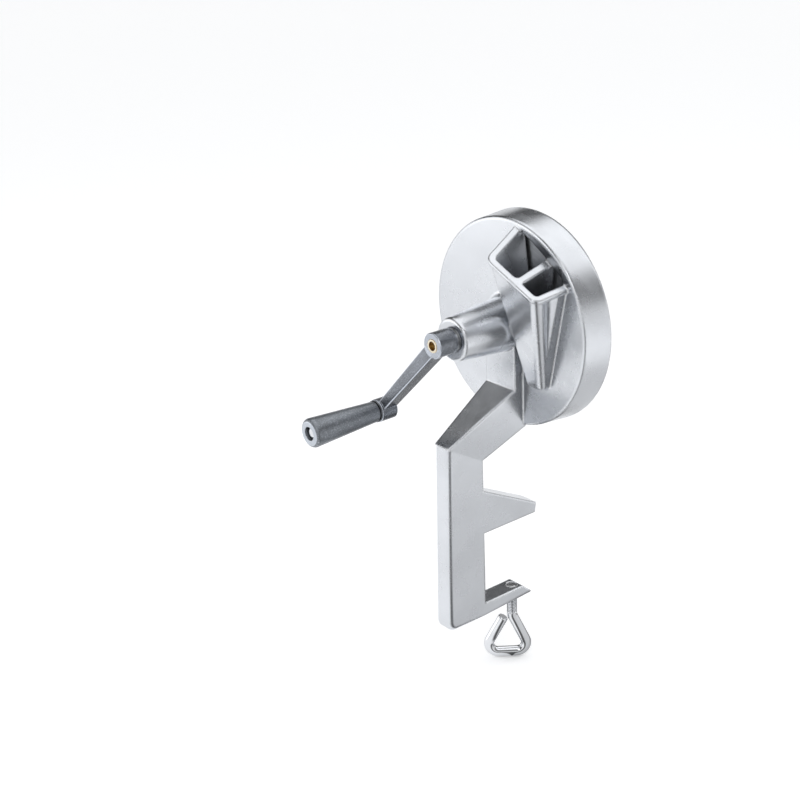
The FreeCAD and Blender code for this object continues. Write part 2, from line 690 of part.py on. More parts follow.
def grip_pin():
    """Pin riveted in the boss, with a domed head in the grip's recess."""
    seat = GRIP_END + GRIP_RECESS_DEPTH - GRIP_END_PLAY
    crown = seat - PIN_HEAD_RISE
    shank = rod(PIN_RADIUS, seat, BOSS_BACK, GRIP_X, GRIP_Z)
    head = rod(PIN_HEAD_RADIUS, crown, seat, GRIP_X, GRIP_Z)
    head = head.makeFillet(PIN_HEAD_ROUND, edges_near(head, lambda p: p.y < crown + 0.01))
    end = BOSS_BACK + PIN_RIVET_RISE
    rivet = rod(RIVET_RADIUS, BOSS_BACK, end, GRIP_X, GRIP_Z)
    rivet = rivet.makeFillet(PIN_RIVET_ROUND, edges_near(rivet, lambda p: p.y > end - 0.01))
    return shank.fuse([head, rivet]).removeSplitter()


def collar_ring():
    """Thin ring on the pin between the boss and the grip."""
    ring = rod(COLLAR_RING_RADIUS, RING_FRONT, BOSS_FRONT, GRIP_X, GRIP_Z)
    bore = rod(PIN_RADIUS + RUNNING_FIT, RING_FRONT - PAST, BOSS_FRONT + PAST, GRIP_X, GRIP_Z)
    return ring.cut(bore)


def bent_path(points, bend_radius):
    """A wire of straight runs joined by tangent arcs of one radius."""
    pieces = []
    start = points[0]
    for corner, after in zip(points[1:-1], points[2:]):
        inward = (start - corner).normalize()
        outward = (after - corner).normalize()
        half = inward.getAngle(outward) / 2
        reach = bend_radius / math.tan(half)
        arc_start = corner + inward * reach
        arc_end = corner + outward * reach
        centre = corner + (inward + outward).normalize() * (bend_radius / math.sin(half))
        middle = centre + (corner - centre).normalize() * bend_radius
        pieces.append(Part.LineSegment(start, arc_start).toShape())
        pieces.append(Part.Arc(arc_start, middle, arc_end).toShape())
        start = arc_end
    pieces.append(Part.LineSegment(start, points[-1]).toShape())
    return Part.Wire(pieces)


def loop_corners():
    """Corners of the clamp rod's path as (x, z) pairs, from its upper end round the loop."""
    end_x = -2 * SCREW_RADIUS - LOOP_END_GAP
    middle = end_x / 2
    spread = LOOP_WIDTH / 2 - SCREW_RADIUS + LOOP_BEND_SHARE * LOOP_BEND
    turn = math.atan2(middle + spread, LOOP_DROP - SCREW_RADIUS)
    neck = LOOP_BEND * math.tan(turn / 2)
    shoulder = FOOT_HEIGHT - LOWER_JAW_SLOPE / 2 - SCREW_THREAD_BELOW_JAW - neck
    bottom = shoulder - LOOP_DROP + SCREW_RADIUS
    return [
        (0.0, SCREW_TOP),
        (0.0, shoulder),
        (middle + spread, bottom),
        (middle - spread, bottom),
        (end_x, shoulder - SCREW_RADIUS),
    ]


def clamp_screw():
    """Rod threaded through the lower jaw, its lower end bent into a closed teardrop loop."""
    points = [FreeCAD.Vector(x, 0, z) for x, z in loop_corners()]
    path = bent_path(points, LOOP_BEND)
    ring = Part.Wire(Part.makeCircle(SCREW_RADIUS, points[0], FreeCAD.Vector(0, 0, 1)))
    shape = path.makePipeShell([ring], True, False)
    shape.rotate(FreeCAD.Vector(0, 0, 0), FreeCAD.Vector(0, 0, 1), LOOP_TURN)
    shape.translate(FreeCAD.Vector(0, SCREW_REACH, 0))
    depth = TIP_STEM_LENGTH + TIP_SOCKET_ROOM
    floor = FreeCAD.Vector(0, SCREW_REACH, SCREW_TOP - depth)
    return shape.cut(Part.makeCylinder(TIP_STEM_RADIUS + RUNNING_FIT, depth, floor))


def clamp_tip():
    """Small button that turns in the screw's end and presses on the table."""
    base = SCREW_TOP + RUNNING_FIT
    top = base + TIP_HEIGHT
    length = TIP_STEM_LENGTH + RUNNING_FIT
    button = Part.makeCylinder(TIP_RADIUS, TIP_HEIGHT, FreeCAD.Vector(0, SCREW_REACH, base))
    button = button.makeChamfer(TIP_CHAMFER, edges_near(button, lambda p: p.z > top - 0.01))
    stem = Part.makeCylinder(TIP_STEM_RADIUS, length, FreeCAD.Vector(0, SCREW_REACH, base - length))
    return button.fuse(stem).removeSplitter()


def build():
    """Every sub-part, by node name."""
    parts = {
        "housing": housing(),
        "front_bush": bush(-TUBE_LENGTH),
        "rear_bush": bush(PLATE_THICKNESS - BUSH_LENGTH),
        "drive_shaft": drive_shaft(),
        "thrust_washer": washer(THRUST_WASHER_RADIUS, SHAFT_RADIUS + RUNNING_FIT, CRANK_SEAT + END_PLAY),
        "knife_disc": knife_disc(),
        "blade_screws": blade_screws(),
        "disc_washer": washer(DISC_WASHER_RADIUS, THREAD_RADIUS + RUNNING_FIT, HUB_BACK),
        "disc_nut": disc_nut(),
        "crank_arm": crank_arm(),
        "crank_insert": crank_insert(),
        "grip": grip(),
        "grip_pin": grip_pin(),
        "collar_ring": collar_ring(),
        "clamp_screw": clamp_screw(),
        "clamp_tip": clamp_tip(),
    }
    for index in range(BLADE_COUNT):
        parts["blade_" + str(index + 1)] = blade(360.0 * index / BLADE_COUNT)
    return parts


os.makedirs("parts", exist_ok=True)
for name, shape in build().items():
    shape.exportStep("parts/" + name + ".step")
    print(name, shape.ShapeType, len(shape.Solids), shape.isValid(), round(shape.Volume, 1))
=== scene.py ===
"""Looks of a hand cranked bean slicer: finishes, clamp rod, blade screws, grip and stage."""

import json
import math

import bmesh
import bpy
from mathutils import Matrix, Vector


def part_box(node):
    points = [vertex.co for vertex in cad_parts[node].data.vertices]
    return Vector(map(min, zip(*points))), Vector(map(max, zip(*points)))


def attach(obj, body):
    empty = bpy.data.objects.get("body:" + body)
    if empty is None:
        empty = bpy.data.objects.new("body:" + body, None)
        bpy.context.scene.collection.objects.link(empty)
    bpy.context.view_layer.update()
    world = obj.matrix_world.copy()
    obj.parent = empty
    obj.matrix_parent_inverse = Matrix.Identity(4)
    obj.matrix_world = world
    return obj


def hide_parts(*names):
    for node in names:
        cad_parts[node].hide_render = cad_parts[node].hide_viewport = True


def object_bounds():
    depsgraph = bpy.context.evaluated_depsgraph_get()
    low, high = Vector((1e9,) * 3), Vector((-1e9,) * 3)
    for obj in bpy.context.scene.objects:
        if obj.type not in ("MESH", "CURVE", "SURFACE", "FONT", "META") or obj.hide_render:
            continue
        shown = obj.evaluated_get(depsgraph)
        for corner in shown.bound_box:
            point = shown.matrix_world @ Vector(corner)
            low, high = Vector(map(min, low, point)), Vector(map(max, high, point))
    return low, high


bl_info = {
    "name": "Bean slicer with crank",
    "version": (1, 0, 0),
    "blender": (4, 5, 0),
    "location": "3D View > Sidebar > Slicer",
    "description": "Dresses the packed solids of a bean slicer and sets its stage",
    "category": "Object",
}

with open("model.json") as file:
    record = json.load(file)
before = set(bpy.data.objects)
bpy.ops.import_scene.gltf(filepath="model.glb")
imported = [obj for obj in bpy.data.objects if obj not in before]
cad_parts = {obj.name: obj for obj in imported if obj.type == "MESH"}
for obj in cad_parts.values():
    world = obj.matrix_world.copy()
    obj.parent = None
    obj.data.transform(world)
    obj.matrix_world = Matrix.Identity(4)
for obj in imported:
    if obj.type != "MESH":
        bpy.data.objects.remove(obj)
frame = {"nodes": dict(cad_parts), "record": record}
CAD_BOX = [list(corner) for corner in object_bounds()]

MM = 0.001
ROD_LOW, ROD_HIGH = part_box("clamp_screw")
TIP_LOW, TIP_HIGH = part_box("clamp_tip")
GRIP_LOW, GRIP_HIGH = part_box("grip")
SCREWS_LOW, SCREWS_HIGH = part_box("blade_screws")
SHAFT_LOW, SHAFT_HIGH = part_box("drive_shaft")
TUBE_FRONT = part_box("front_bush")[0].y
INSERT_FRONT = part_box("crank_insert")[0].y
CRANK_AXIS = Vector((0, 0, (SHAFT_LOW.z + SHAFT_HIGH.z) / 2))
GRIP_AXIS = Vector(((GRIP_LOW.x + GRIP_HIGH.x) / 2, 0, (GRIP_LOW.z + GRIP_HIGH.z) / 2))
SCREW_AXIS = Vector(((TIP_LOW.x + TIP_HIGH.x) / 2, (TIP_LOW.y + TIP_HIGH.y) / 2, 0))

# Faces across the crank axis that are machined or rubbed, and the grip's end face painted light as
# a painted reflection: how deep and how far out they reach
TUBE_FACE_DEPTH, TUBE_FACE_RADIUS = 0.1 * MM, 12.5 * MM
INSERT_FACE_DEPTH = 0.1 * MM
HUB_FACE_DEPTH, HUB_FACE_RADIUS = 0.5 * MM, 6.5 * MM
GRIP_FACE_DEPTH, WHOLE_FACE_RADIUS = 0.25 * MM, 1.0

# Clamp rod: steps along its path, its thread's flank in half pitches and run-out in turns,
# its ends, its loop and its socket
ROD_STEP = 0.6 * MM
STEPS_PER_THREAD = 14
BEND_STEPS = 16
THREAD_FLANK = (0.14, 0.84)
THREAD_RUN_OUT = 1.2
TOP_CHAMFER = 0.6 * MM
FREE_END_CHAMFER = 0.35 * MM
LOOP_END_GAP = 0.3 * MM
FREE_END_LEAN = 1.3 * MM
FREE_END_DROP_SHARE = 0.4
LOOP_BEND_SHARE = 0.45
SOCKET_RADIUS = 1.25 * MM
SOCKET_DEPTH = 3 * MM
ON_AXIS = 1e-6
NEAR_TOP = 0.01 * MM

# Blade screws: how late the dome falls away, and how far the slots are turned at random
DOME_POWER = 3.0
SLOT_TURN, SLOT_SEED = 1.2, 7

# Grip: roundings of its recess
RECESS_EDGE_ROUND = 0.3 * MM
RECESS_FLOOR_ROUND = 0.2 * MM

# Where shades on the floor fade, by the cosine to a direction and by metres from the object
NEAR_SIDE, NEAR_REACH = (0.1, 0.75), (0.4, 0.24)
FAR_SIDE, FAR_REACH = (0.0, -0.5), (0.38, 0.62)
CARD_EDGE = (0.91, 0.98)
REAR_SHADOW_REACH = (0.05, 0.1)
FLOOR_RADIUS = 30.0

# Where shades on the backdrop fade, by the rise, X or Y of a ray's direction
WALL_RISE = (0.1, 0.34)
CHUTE_SIDE = (0.0, 0.6)
REAR_RISE, REAR_SIDE = (0.6, 0.7), (0.1, 0.45)
CEILING_RISE = (0.72, 0.84)

LAMP_AIM = Vector((0, -0.02, 0.06))
LAMPS = (
    {"name": "key_lamp", "place": (-0.75, -0.75, 0.3), "width": 0.8, "height": 0.9, "power": 2.2},
    {"name": "front_lamp", "place": (0.55, -0.95, 0.75), "width": 0.5, "height": 0.5, "power": 2.0},
    {"name": "back_lamp", "place": (0.4, 1.0, 0.7), "width": 0.5, "height": 0.5, "power": 1.5},
)

BACKDROP_TINT = (0.99, 0.995, 1.0)
SOFT_LIGHT_TINT, SOFT_LIGHT_LEVEL = (0.98, 0.99, 1.0), 0.8
# Dust with painted shade for recesses and the chrome thread, then rubbed edges lightened as a
# painted highlight
DUST_AND_SHADE = (0.13, 0.137, 0.15)
OILY_DUST_AND_SHADE = (0.09, 0.09, 0.095)
RUBBED_CASTING_HIGHLIGHT = (0.95, 0.955, 0.96)
RUBBED_BLADE_HIGHLIGHT = (0.9, 0.905, 0.915)

NUMBER = "NodeSocketFloat"
TRIPLE = "NodeSocketVector"


def length_setting(name, description, default):
    """A length in metres that shows in the scene's unit."""
    return bpy.props.FloatProperty(
        name=name, description=description, default=default, min=0.0, precision=5,
        unit="LENGTH", subtype="DISTANCE")


def share_setting(name, description, default):
    """A number between nothing and all."""
    return bpy.props.FloatProperty(
        name=name, description=description, default=default, min=0.0, max=1.0, subtype="FACTOR")


def angle_setting(name, description, degrees):
    """An angle, whose default is given in degrees."""
    return bpy.props.FloatProperty(
        name=name, description=description, default=math.radians(degrees), subtype="ANGLE",
        unit="ROTATION")


def colour_setting(name, description, default):
    """A plain colour."""
    return bpy.props.FloatVectorProperty(
        name=name, description=description, default=default, size=3, min=0.0, max=1.0,
        subtype="COLOR")


def direction_setting(name, description, default):
    """A direction of length one."""
    return bpy.props.FloatVectorProperty(
        name=name, description=description, default=default, subtype="DIRECTION")


def place_setting(name, description, default):
    """A place in metres."""
    return bpy.props.FloatVectorProperty(
        name=name, description=description, default=default, subtype="XYZ", unit="LENGTH")


class SlicerFinishes(bpy.types.PropertyGroup):
    """Colours and grain of the metals and the grip."""

    cast_colour: colour_setting("Casting", "Blasted aluminium casting", (0.69, 0.708, 0.74))
    cast_grain: length_setting("Casting grain", "Size of the blasted grain", 0.0007)
    cast_roughness: share_setting("Casting roughness", "How dull the casting is", 0.27)
    disc_colour: colour_setting("Disc", "Turned aluminium of the knife disc", (0.74, 0.75, 0.77))
    lacquer_colour: colour_setting("Crank lacquer", "Dark metallic lacquer", (0.19, 0.202, 0.224))
    grip_colour: colour_setting("Grip", "Dark grey grained grip", (0.215, 0.23, 0.252))
    brass_colour: colour_setting("Brass", "Insert in the hub", (0.72, 0.5, 0.2))
    brass_face_colour: colour_setting("Brass face", "The insert's rubbed face", (0.8, 0.72, 0.56))
    bronze_colour: colour_setting("Bronze", "Bushes of the shaft", (0.62, 0.42, 0.24))
    steel_colour: colour_setting("Steel", "Shaft, washers, nut and screws", (0.56, 0.565, 0.575))
    ring_colour: colour_setting("Ring", "Dark steel of the collar ring", (0.16, 0.165, 0.175))
    blade_colour: colour_setting("Blades", "Ground stainless blades", (0.7, 0.71, 0.725))
    chrome_colour: colour_setting("Chrome", "Clamp rod and pin", (0.76, 0.772, 0.795))


class SlicerClampRod(bpy.types.PropertyGroup):
    """Path and thread of the clamp rod."""

    radius: length_setting("Rod radius", "Half the rod's thickness", 0.003)
    pitch: length_setting("Thread pitch", "Rise of the thread in one turn", 0.001)
    depth: length_setting("Thread depth", "From crest to root", 0.00055)
    thread_end: length_setting("Thread end", "Where it ends, below the table face", 0.0625)
    loop_width: length_setting("Loop width", "Over the outside of the loop", 0.0295)
    loop_drop: length_setting("Loop drop", "From the loop's shoulder to its lowest point", 0.0275)
    loop_bend: length_setting("Bend radius", "Middle line's radius at each bend", 0.0056)
    loop_turn: angle_setting("Loop turn", "Turn of the loop about the rod", 52)
    ring_points: bpy.props.IntProperty(
        name="Ring points", description="Points round the rod", default=48, min=12)


class SlicerScrews(bpy.types.PropertyGroup):
    """Slotted screws that hold the blades, two in each blade."""

    blades: bpy.props.IntProperty(name="Blades", description="How many blades", default=3, min=1)
    inner_place: length_setting("Inner screw", "Along the blade, from the crank axis", 0.02148)
    outer_place: length_setting("Outer screw", "Along the blade, from the crank axis", 0.04052)
    line_offset: length_setting("Screw line", "From the crank axis to the screws' line", 0.00522)
    head_radius: length_setting("Head radius", "Half the head's width", 0.0027)
    head_rise: length_setting("Head rise", "Height of the head", 0.0015)
    crown: length_setting("Crown", "How much of that height is domed", 0.0006)
    shank_radius: length_setting("Shank radius", "Half the thread's width", 0.0015)
    slot_width: length_setting("Slot width", "Width and depth of the slot", 0.0007)


class SlicerGrip(bpy.types.PropertyGroup):
    """Tapered grip."""

    inner_radius: length_setting("Inner radius", "Radius beside the crank", 0.0057)
    outer_radius: length_setting("Outer radius", "Radius at the free end", 0.0082)
    end_round: length_setting("End round", "Rounding of the free end", 0.0024)
    neck_round: length_setting("Neck round", "Rounding beside the crank", 0.0006)
    recess_radius: length_setting("Recess radius", "Recess for the pin's head", 0.0038)
    recess_depth: length_setting("Recess depth", "Depth of that recess", 0.003)
    bore_radius: length_setting("Bore radius", "Bore for the pin", 0.00255)


class SlicerStage(bpy.types.PropertyGroup):
    """Floor, backdrop and camera."""

    floor_colour: colour_setting("Floor", "Plain floor", (0.93, 0.93, 0.933))
    floor_gap: length_setting("Floor gap", "Gap under the loop", 0.0006)
    floor_glow: share_setting("Floor glow", "Even light of the floor, where it is seen", 0.25)
    grey_side: direction_setting(
        "Grey side", "Where metals see a greyer floor near the object", (0.79, 0.61, 0.0))
    grey_level: share_setting("Grey level", "Brightness of the greyer floor in metals", 0.66)
    far_level: share_setting("Far level", "Brightness of the far floor that the plate sees", 0.8)
    card_side: direction_setting(
        "Card side", "Where metals see a dark card on the floor", (0.79, -0.61, 0.0))
    card_level: share_setting("Card level", "Brightness of the dark card in metals", 0.1)
    # Painted shadow: a dark patch on the floor under the object, seen only in reflections
    rear_shadow: place_setting(
        "Rear shadow", "Middle of a dark card behind, seen by undersides", (-0.045, 0.07, 0.0))
    horizon: share_setting("Horizon", "Brightness of the backdrop at eye height", 0.92)
    band: share_setting("Band", "Brightness of the darker band above it", 0.02)
    side_band: share_setting("Side band", "Brightness of that band beside the chute", 0.26)
    ceiling: bpy.props.FloatProperty(
        name="Ceiling", description="Brightness of the ceiling overhead", default=1.35, min=0.0)
    azimuth: angle_setting("Azimuth", "Camera's direction round the object", 52)
    elevation: angle_setting("Elevation", "Camera's height above the horizon", 22)
    roll: angle_setting("Roll", "Turn of the picture", -2.5)
    distance: length_setting("Distance", "From the camera to the point looked at", 0.829)
    aim: place_setting("Aim", "Point that the camera looks at", (-0.0708, -0.02, 0.0563))
    lens: bpy.props.FloatProperty(
        name="Lens", description="Focal length in millimetres", default=64.4, min=1.0)


class Graph:
    """Adds nodes to a tree and feeds their inputs with values or with other nodes' outputs."""

    def __init__(self, tree):
        self.tree = tree

    def feed(self, socket, value):
        if isinstance(value, bpy.types.NodeSocket):
            self.tree.links.new(value, socket)
        else:
            socket.default_value = value

    def add(self, kind, inputs=None, **settings):
        made = self.tree.nodes.new(kind)
        for name, value in settings.items():
            setattr(made, name, value)
        for key, value in (inputs or {}).items():
            self.feed(made.inputs[key], value)
        return made

    def math(self, operation, *values, clamp=False):
        inputs = dict(enumerate(values))
        return self.add("ShaderNodeMath", inputs, operation=operation, use_clamp=clamp).outputs[0]

    def times(self, first, second):
        return self.math("MULTIPLY", first, second)

    def plus(self, base, mask, share, clamp=False):
        """The base and a share of the mask."""
        return self.math("ADD", base, self.times(mask, share), clamp=clamp)

    def vector(self, operation, *values):
        """The vector that a vector operation gives."""
        inputs = dict(enumerate(values))
        return self.add("ShaderNodeVectorMath", inputs, operation=operation).outputs["Vector"]

    def measure(self, operation, *values):
        """The number that a vector operation gives."""
        inputs = dict(enumerate(values))
        return self.add("ShaderNodeVectorMath", inputs, operation=operation).outputs["Value"]

    def parts(self, vector):
        """The outputs X, Y and Z of a vector."""
        return self.add("ShaderNodeSeparateXYZ", {0: vector}).outputs

    def triple(self, x=0.0, y=0.0, z=0.0):
        """A vector from its three parts."""
        return self.add("ShaderNodeCombineXYZ", {0: x, 1: y, 2: z}).outputs[0]

    def ramp(self, value, low, high, start=0.0, end=1.0, smooth=True):
        kind = "SMOOTHSTEP" if smooth else "LINEAR"
        return self.add("ShaderNodeMapRange", {0: value, 1: low, 2: high, 3: start, 4: end},
                        interpolation_type=kind).outputs[0]

    def blend(self, share, first, second):
        """The first colour, and by the share the second."""
        return self.add("ShaderNodeMix", {0: share, 6: first, 7: second},
                        data_type="RGBA").outputs[2]

    def noise(self, place, scale, detail=3.0, roughness=0.55):
        return self.add("ShaderNodeTexNoise", {
            "Vector": place, "Scale": scale, "Detail": detail,
            "Roughness": roughness}).outputs["Fac"]

    def here(self):
        """Object coordinates."""
        return self.add("ShaderNodeTexCoord").outputs["Object"]

    def place(self, stretch=(1, 1, 1), turn=(0, 0, 0), shift=(0, 0, 0)):
        """Object coordinates, moved, turned and stretched."""
        return self.add("ShaderNodeMapping", {
            "Vector": self.here(), "Location": shift, "Rotation": turn,
            "Scale": stretch}).outputs["Vector"]


def new_group(name, inputs, outputs):
    """A shader node group with number inputs; returns a graph and the group's two ends."""
    tree = bpy.data.node_groups.new(name, "ShaderNodeTree")
    for label, value in inputs.items():
        socket = tree.interface.new_socket(name=label, in_out="INPUT", socket_type=NUMBER)
        socket.default_value = value
    for label, kind in outputs.items():
        tree.interface.new_socket(name=label, in_out="OUTPUT", socket_type=kind)
    start = tree.nodes.new("NodeGroupInput").outputs
    end = tree.nodes.new("NodeGroupOutput").inputs
    return Graph(tree), start, end


def blasted_grain_group():
    """Fine pitted grain of a blasted or lacquered casting, with a slow cloudiness over it."""
    graph, start, end = new_group(
        "Blasted grain", {"Grain": 0.00035, "Cloud": 0.018},
        {"Height": NUMBER, "Speck": NUMBER, "Cloud": NUMBER})
    here = graph.here()
    fine_scale = graph.math("DIVIDE", 1.0, start["Grain"])
    coarse_scale = graph.times(fine_scale, 0.37)
    cloud_scale = graph.math("DIVIDE", 1.0, start["Cloud"])
    fine = graph.noise(here, fine_scale, detail=2.0, roughness=0.6)
    coarse = graph.noise(here, coarse_scale, detail=3.0, roughness=0.6)
    cloud = graph.noise(here, cloud_scale, detail=4.0, roughness=0.55)
    graph.feed(end["Height"], graph.plus(graph.times(fine, 0.75), coarse, 0.25))
    graph.feed(end["Speck"], graph.ramp(fine, 0.48, 0.72))
    graph.feed(end["Cloud"], graph.ramp(cloud, 0.3, 0.7))
    return graph.tree


def edge_group():
    """Rounded shading of crisp edges, and a mask of those edges, in rubbed patches, that the
    finishes paint bright as a painted highlight.
    """
    graph, start, end = new_group(
        "Rubbed edges and highlight", {"Radius": 0.0005, "Patch": 0.004}, {"Mask": NUMBER, "Normal": TRIPLE})
    rounded = graph.add("ShaderNodeBevel", {"Radius": start["Radius"]}, samples=6).outputs[0]
    plain = graph.add("ShaderNodeNewGeometry").outputs["Normal"]
    turned = graph.measure("DOT_PRODUCT", rounded, plain)
    patch_scale = graph.math("DIVIDE", 1.0, start["Patch"])
    patch = graph.noise(graph.here(), patch_scale, detail=3.0, roughness=0.6)
    # Patches of the edge mask, for rubbed wear and its painted highlight
    rubbed = graph.ramp(patch, 0.3, 0.62, start=0.35)
    graph.feed(end["Mask"], graph.times(graph.ramp(turned, 0.995, 0.85), rubbed))
    graph.feed(end["Normal"], rounded)
    return graph.tree


def scratch_group():
    """Fine straight scratches in two directions, and soft handling marks."""
    graph, start, end = new_group(
        "Handling marks", {"Length": 0.012, "Width": 0.00022},
        {"Scratch": NUMBER, "Smudge": NUMBER})
    across = graph.math("DIVIDE", 1.0, start["Width"])
    along = graph.math("DIVIDE", 1.0, start["Length"])
    lines = []
    for turn in ((0.5, 0.35, 0.3), (-0.7, 0.2, 1.1)):
        stretch = graph.triple(across, along, across)
        scaled = graph.vector("MULTIPLY", graph.place(turn=turn), stretch)
        line = graph.noise(scaled, 1.0, detail=1.0, roughness=0.5)
        lines.append(graph.ramp(line, 0.66, 0.78))
    smudge = graph.noise(graph.here(), 55.0, detail=5.0, roughness=0.65)
    graph.feed(end["Scratch"], graph.math("MAXIMUM", *lines))
    graph.feed(end["Smudge"], graph.ramp(smudge, 0.4, 0.75))
    return graph.tree


def turned_rings_group():
    """Lathe lines round the crank axis and the distance from that axis."""
    graph, start, end = new_group(
        "Turned rings", {"Spacing": 0.0003}, {"Height": NUMBER, "Distance": NUMBER})
    parts = graph.parts(graph.place(shift=-CRANK_AXIS))
    squares = [graph.math("POWER", parts[name], 2.0) for name in ("X", "Z")]
    distance = graph.math("SQRT", graph.math("ADD", *squares))
    flat = graph.triple(
        x=graph.math("DIVIDE", distance, start["Spacing"]),
        z=graph.math("DIVIDE", parts["Y"], start["Spacing"]))
    graph.feed(end["Height"], graph.noise(flat, 1.0, detail=2.0, roughness=0.6))
    graph.feed(end["Distance"], distance)
    return graph.tree


def recess_group():
    """Dust and painted shade: a mask of corners and recesses that see little light, which the
    finishes paint darker.
    """
    graph, start, end = new_group("Recess dust", {"Reach": 0.006}, {"Mask": NUMBER})
    # Painted shade: recesses that see little light are masked for darkening, in patches with dust
    open_share = graph.add(
        "ShaderNodeAmbientOcclusion", {"Distance": start["Reach"]}, samples=8).outputs["AO"]
    patch = graph.noise(graph.here(), 160.0, detail=4.0, roughness=0.6)
    patchy_dust_and_shade = graph.ramp(patch, 0.25, 0.65, start=0.55)
    graph.feed(end["Mask"], graph.times(graph.ramp(open_share, 0.75, 0.2), patchy_dust_and_shade))
    return graph.tree


def rgb(colour, share=1.0):
    """A colour as four numbers, made lighter or darker by the share."""
    return tuple(min(1.0, part * share) for part in colour) + (1.0,)


EFFECTS = {}
FINISHES = {}


class Finish:
    """One material: a Principled shader whose tone and dullness are built up in layers."""

    def __init__(self, name, metallic, roughness, **settings):
        self.material = bpy.data.materials.new(name)
        self.material.use_nodes = True
        self.graph = Graph(self.material.node_tree)
        self.sockets = self.material.node_tree.nodes["Principled BSDF"].inputs
        self.sockets["Metallic"].default_value = metallic
        self.sockets["Roughness"].default_value = roughness
        for key, value in settings.items():
            self.sockets[key.replace("_", " ")].default_value = value
        self.tone = None
        self.roughness = roughness

    def effect(self, name, **sizes):
        """The outputs of a shared effect with this finish's own sizes."""
        return self.graph.add("ShaderNodeGroup", sizes, node_tree=EFFECTS[name]).outputs

    def ground(self, mask, low, high):
        """The first tone, from the low colour to the high one."""
        self.tone = self.graph.blend(mask, low, high)

    def tint(self, mask, share, colour):
        """Lays a colour over the tone by a share of the mask."""
        self.tone = self.graph.blend(self.graph.times(mask, share), self.tone, colour)

    def dull(self, mask, share, clamp=False):
        """Adds a share of the mask to the roughness."""
        self.roughness = self.graph.plus(self.roughness, mask, share, clamp)

    def close(self, height, depth, strength, normal=None):
        """Joins tone, roughness and relief to the shader and gives the material."""
        relief = {"Height": height, "Distance": depth, "Strength": strength}
        if normal is not None:
            relief["Normal"] = normal
        self.graph.feed(self.sockets["Base Color"], self.tone)
        self.graph.feed(self.sockets["Roughness"], self.roughness)
        raised = self.graph.add("ShaderNodeBump", relief).outputs["Normal"]
        self.graph.feed(self.sockets["Normal"], raised)
        return self.material


def end_mask(graph, plane, distance=None, radius=WHOLE_FACE_RADIUS):
    """One in front of a plane across the crank axis and within a radius of that axis."""
    mask = graph.math("LESS_THAN", graph.parts(graph.here())["Y"], plane)
    if distance is None:
        return mask
    return graph.times(mask, graph.math("LESS_THAN", distance, radius))


def corner_mask(graph):
    """Rounded corners between faces across the crank axis and faces along it, masked for a painted
    highlight.
    """
    normal = graph.add("ShaderNodeTexCoord").outputs["Normal"]
    across = graph.math("ABSOLUTE", graph.parts(normal)["Y"])
    return graph.times(graph.ramp(across, 0.3, 0.5), graph.ramp(across, 0.97, 0.88))


def cast_aluminium(settings):
    """Blasted casting with a machined tube end, rubbed edges painted bright as a painted highlight,
    and recesses painted dull with dust and painted shade.
    """
    colour = settings.cast_colour
    made = Finish("Cast aluminium", 1.0, settings.cast_roughness)
    graph = made.graph
    grain = made.effect("grain", Grain=settings.cast_grain, Cloud=0.022)
    edges = made.effect("edges", Radius=0.0017, Patch=0.005)
    marks = made.effect("marks", Length=0.02, Width=0.00035)
    dust_and_shade = made.effect("recess", Reach=0.008)
    rings = made.effect("rings", Spacing=0.00025)
    made.ground(grain["Cloud"], rgb(colour, 0.93), rgb(colour))
    made.tint(grain["Speck"], 0.08, rgb(colour, 0.75))
    made.tint(marks["Scratch"], 0.08, rgb(colour, 0.8))
    # Dust and painted shade in the recesses
    made.tint(dust_and_shade["Mask"], 0.5, rgb(DUST_AND_SHADE))
    # Rubbed edges lightened as a painted highlight
    made.tint(edges["Mask"], 0.75, rgb(RUBBED_CASTING_HIGHLIGHT))
    machined = end_mask(graph, TUBE_FRONT + TUBE_FACE_DEPTH, rings["Distance"], TUBE_FACE_RADIUS)
    made.dull(grain["Cloud"], -0.06)
    made.dull(marks["Smudge"], 0.08)
    made.dull(edges["Mask"], -0.12)
    made.dull(machined, -0.14, clamp=True)
    blasted = graph.math("SUBTRACT", 1.0, machined)
    height = graph.times(grain["Height"], blasted)
    height = graph.plus(height, marks["Scratch"], -0.12)
    height = graph.plus(height, rings["Height"], machined)
    return made.close(height, depth=0.00004, strength=0.6, normal=edges["Normal"])


def turned_metal(name, colour, roughness, spacing, depth, face_plane=None, face_colour=None):
    """Lathe turned metal with fine rings and light marks, recesses darkened with dust and painted
    shade and edges lightened as a painted highlight; its front face can be another tone.
    """
    made = Finish(name, 1.0, roughness)
    graph = made.graph
    rings = made.effect("rings", Spacing=spacing)
    edges = made.effect("edges", Radius=0.00025, Patch=0.003)
    marks = made.effect("marks", Length=0.008, Width=0.00015)
    dust_and_shade = made.effect("recess", Reach=0.004)
    made.ground(graph.ramp(rings["Height"], 0.3, 0.7), rgb(colour, 0.86), rgb(colour, 1.06))
    # Dust and painted shade in the recesses, then a painted highlight on the edges
    made.tint(dust_and_shade["Mask"], 0.55, rgb(colour, 0.35))
    made.tint(edges["Mask"], 0.6, rgb(colour, 1.3))
    if face_colour:
        made.tint(end_mask(graph, face_plane), 1.0, rgb(face_colour))
    made.dull(marks["Smudge"], 0.12)
    made.dull(rings["Height"], 0.08)
    height = graph.plus(rings["Height"], marks["Scratch"], -0.4)
    return made.close(height, depth=depth, strength=0.7, normal=edges["Normal"])


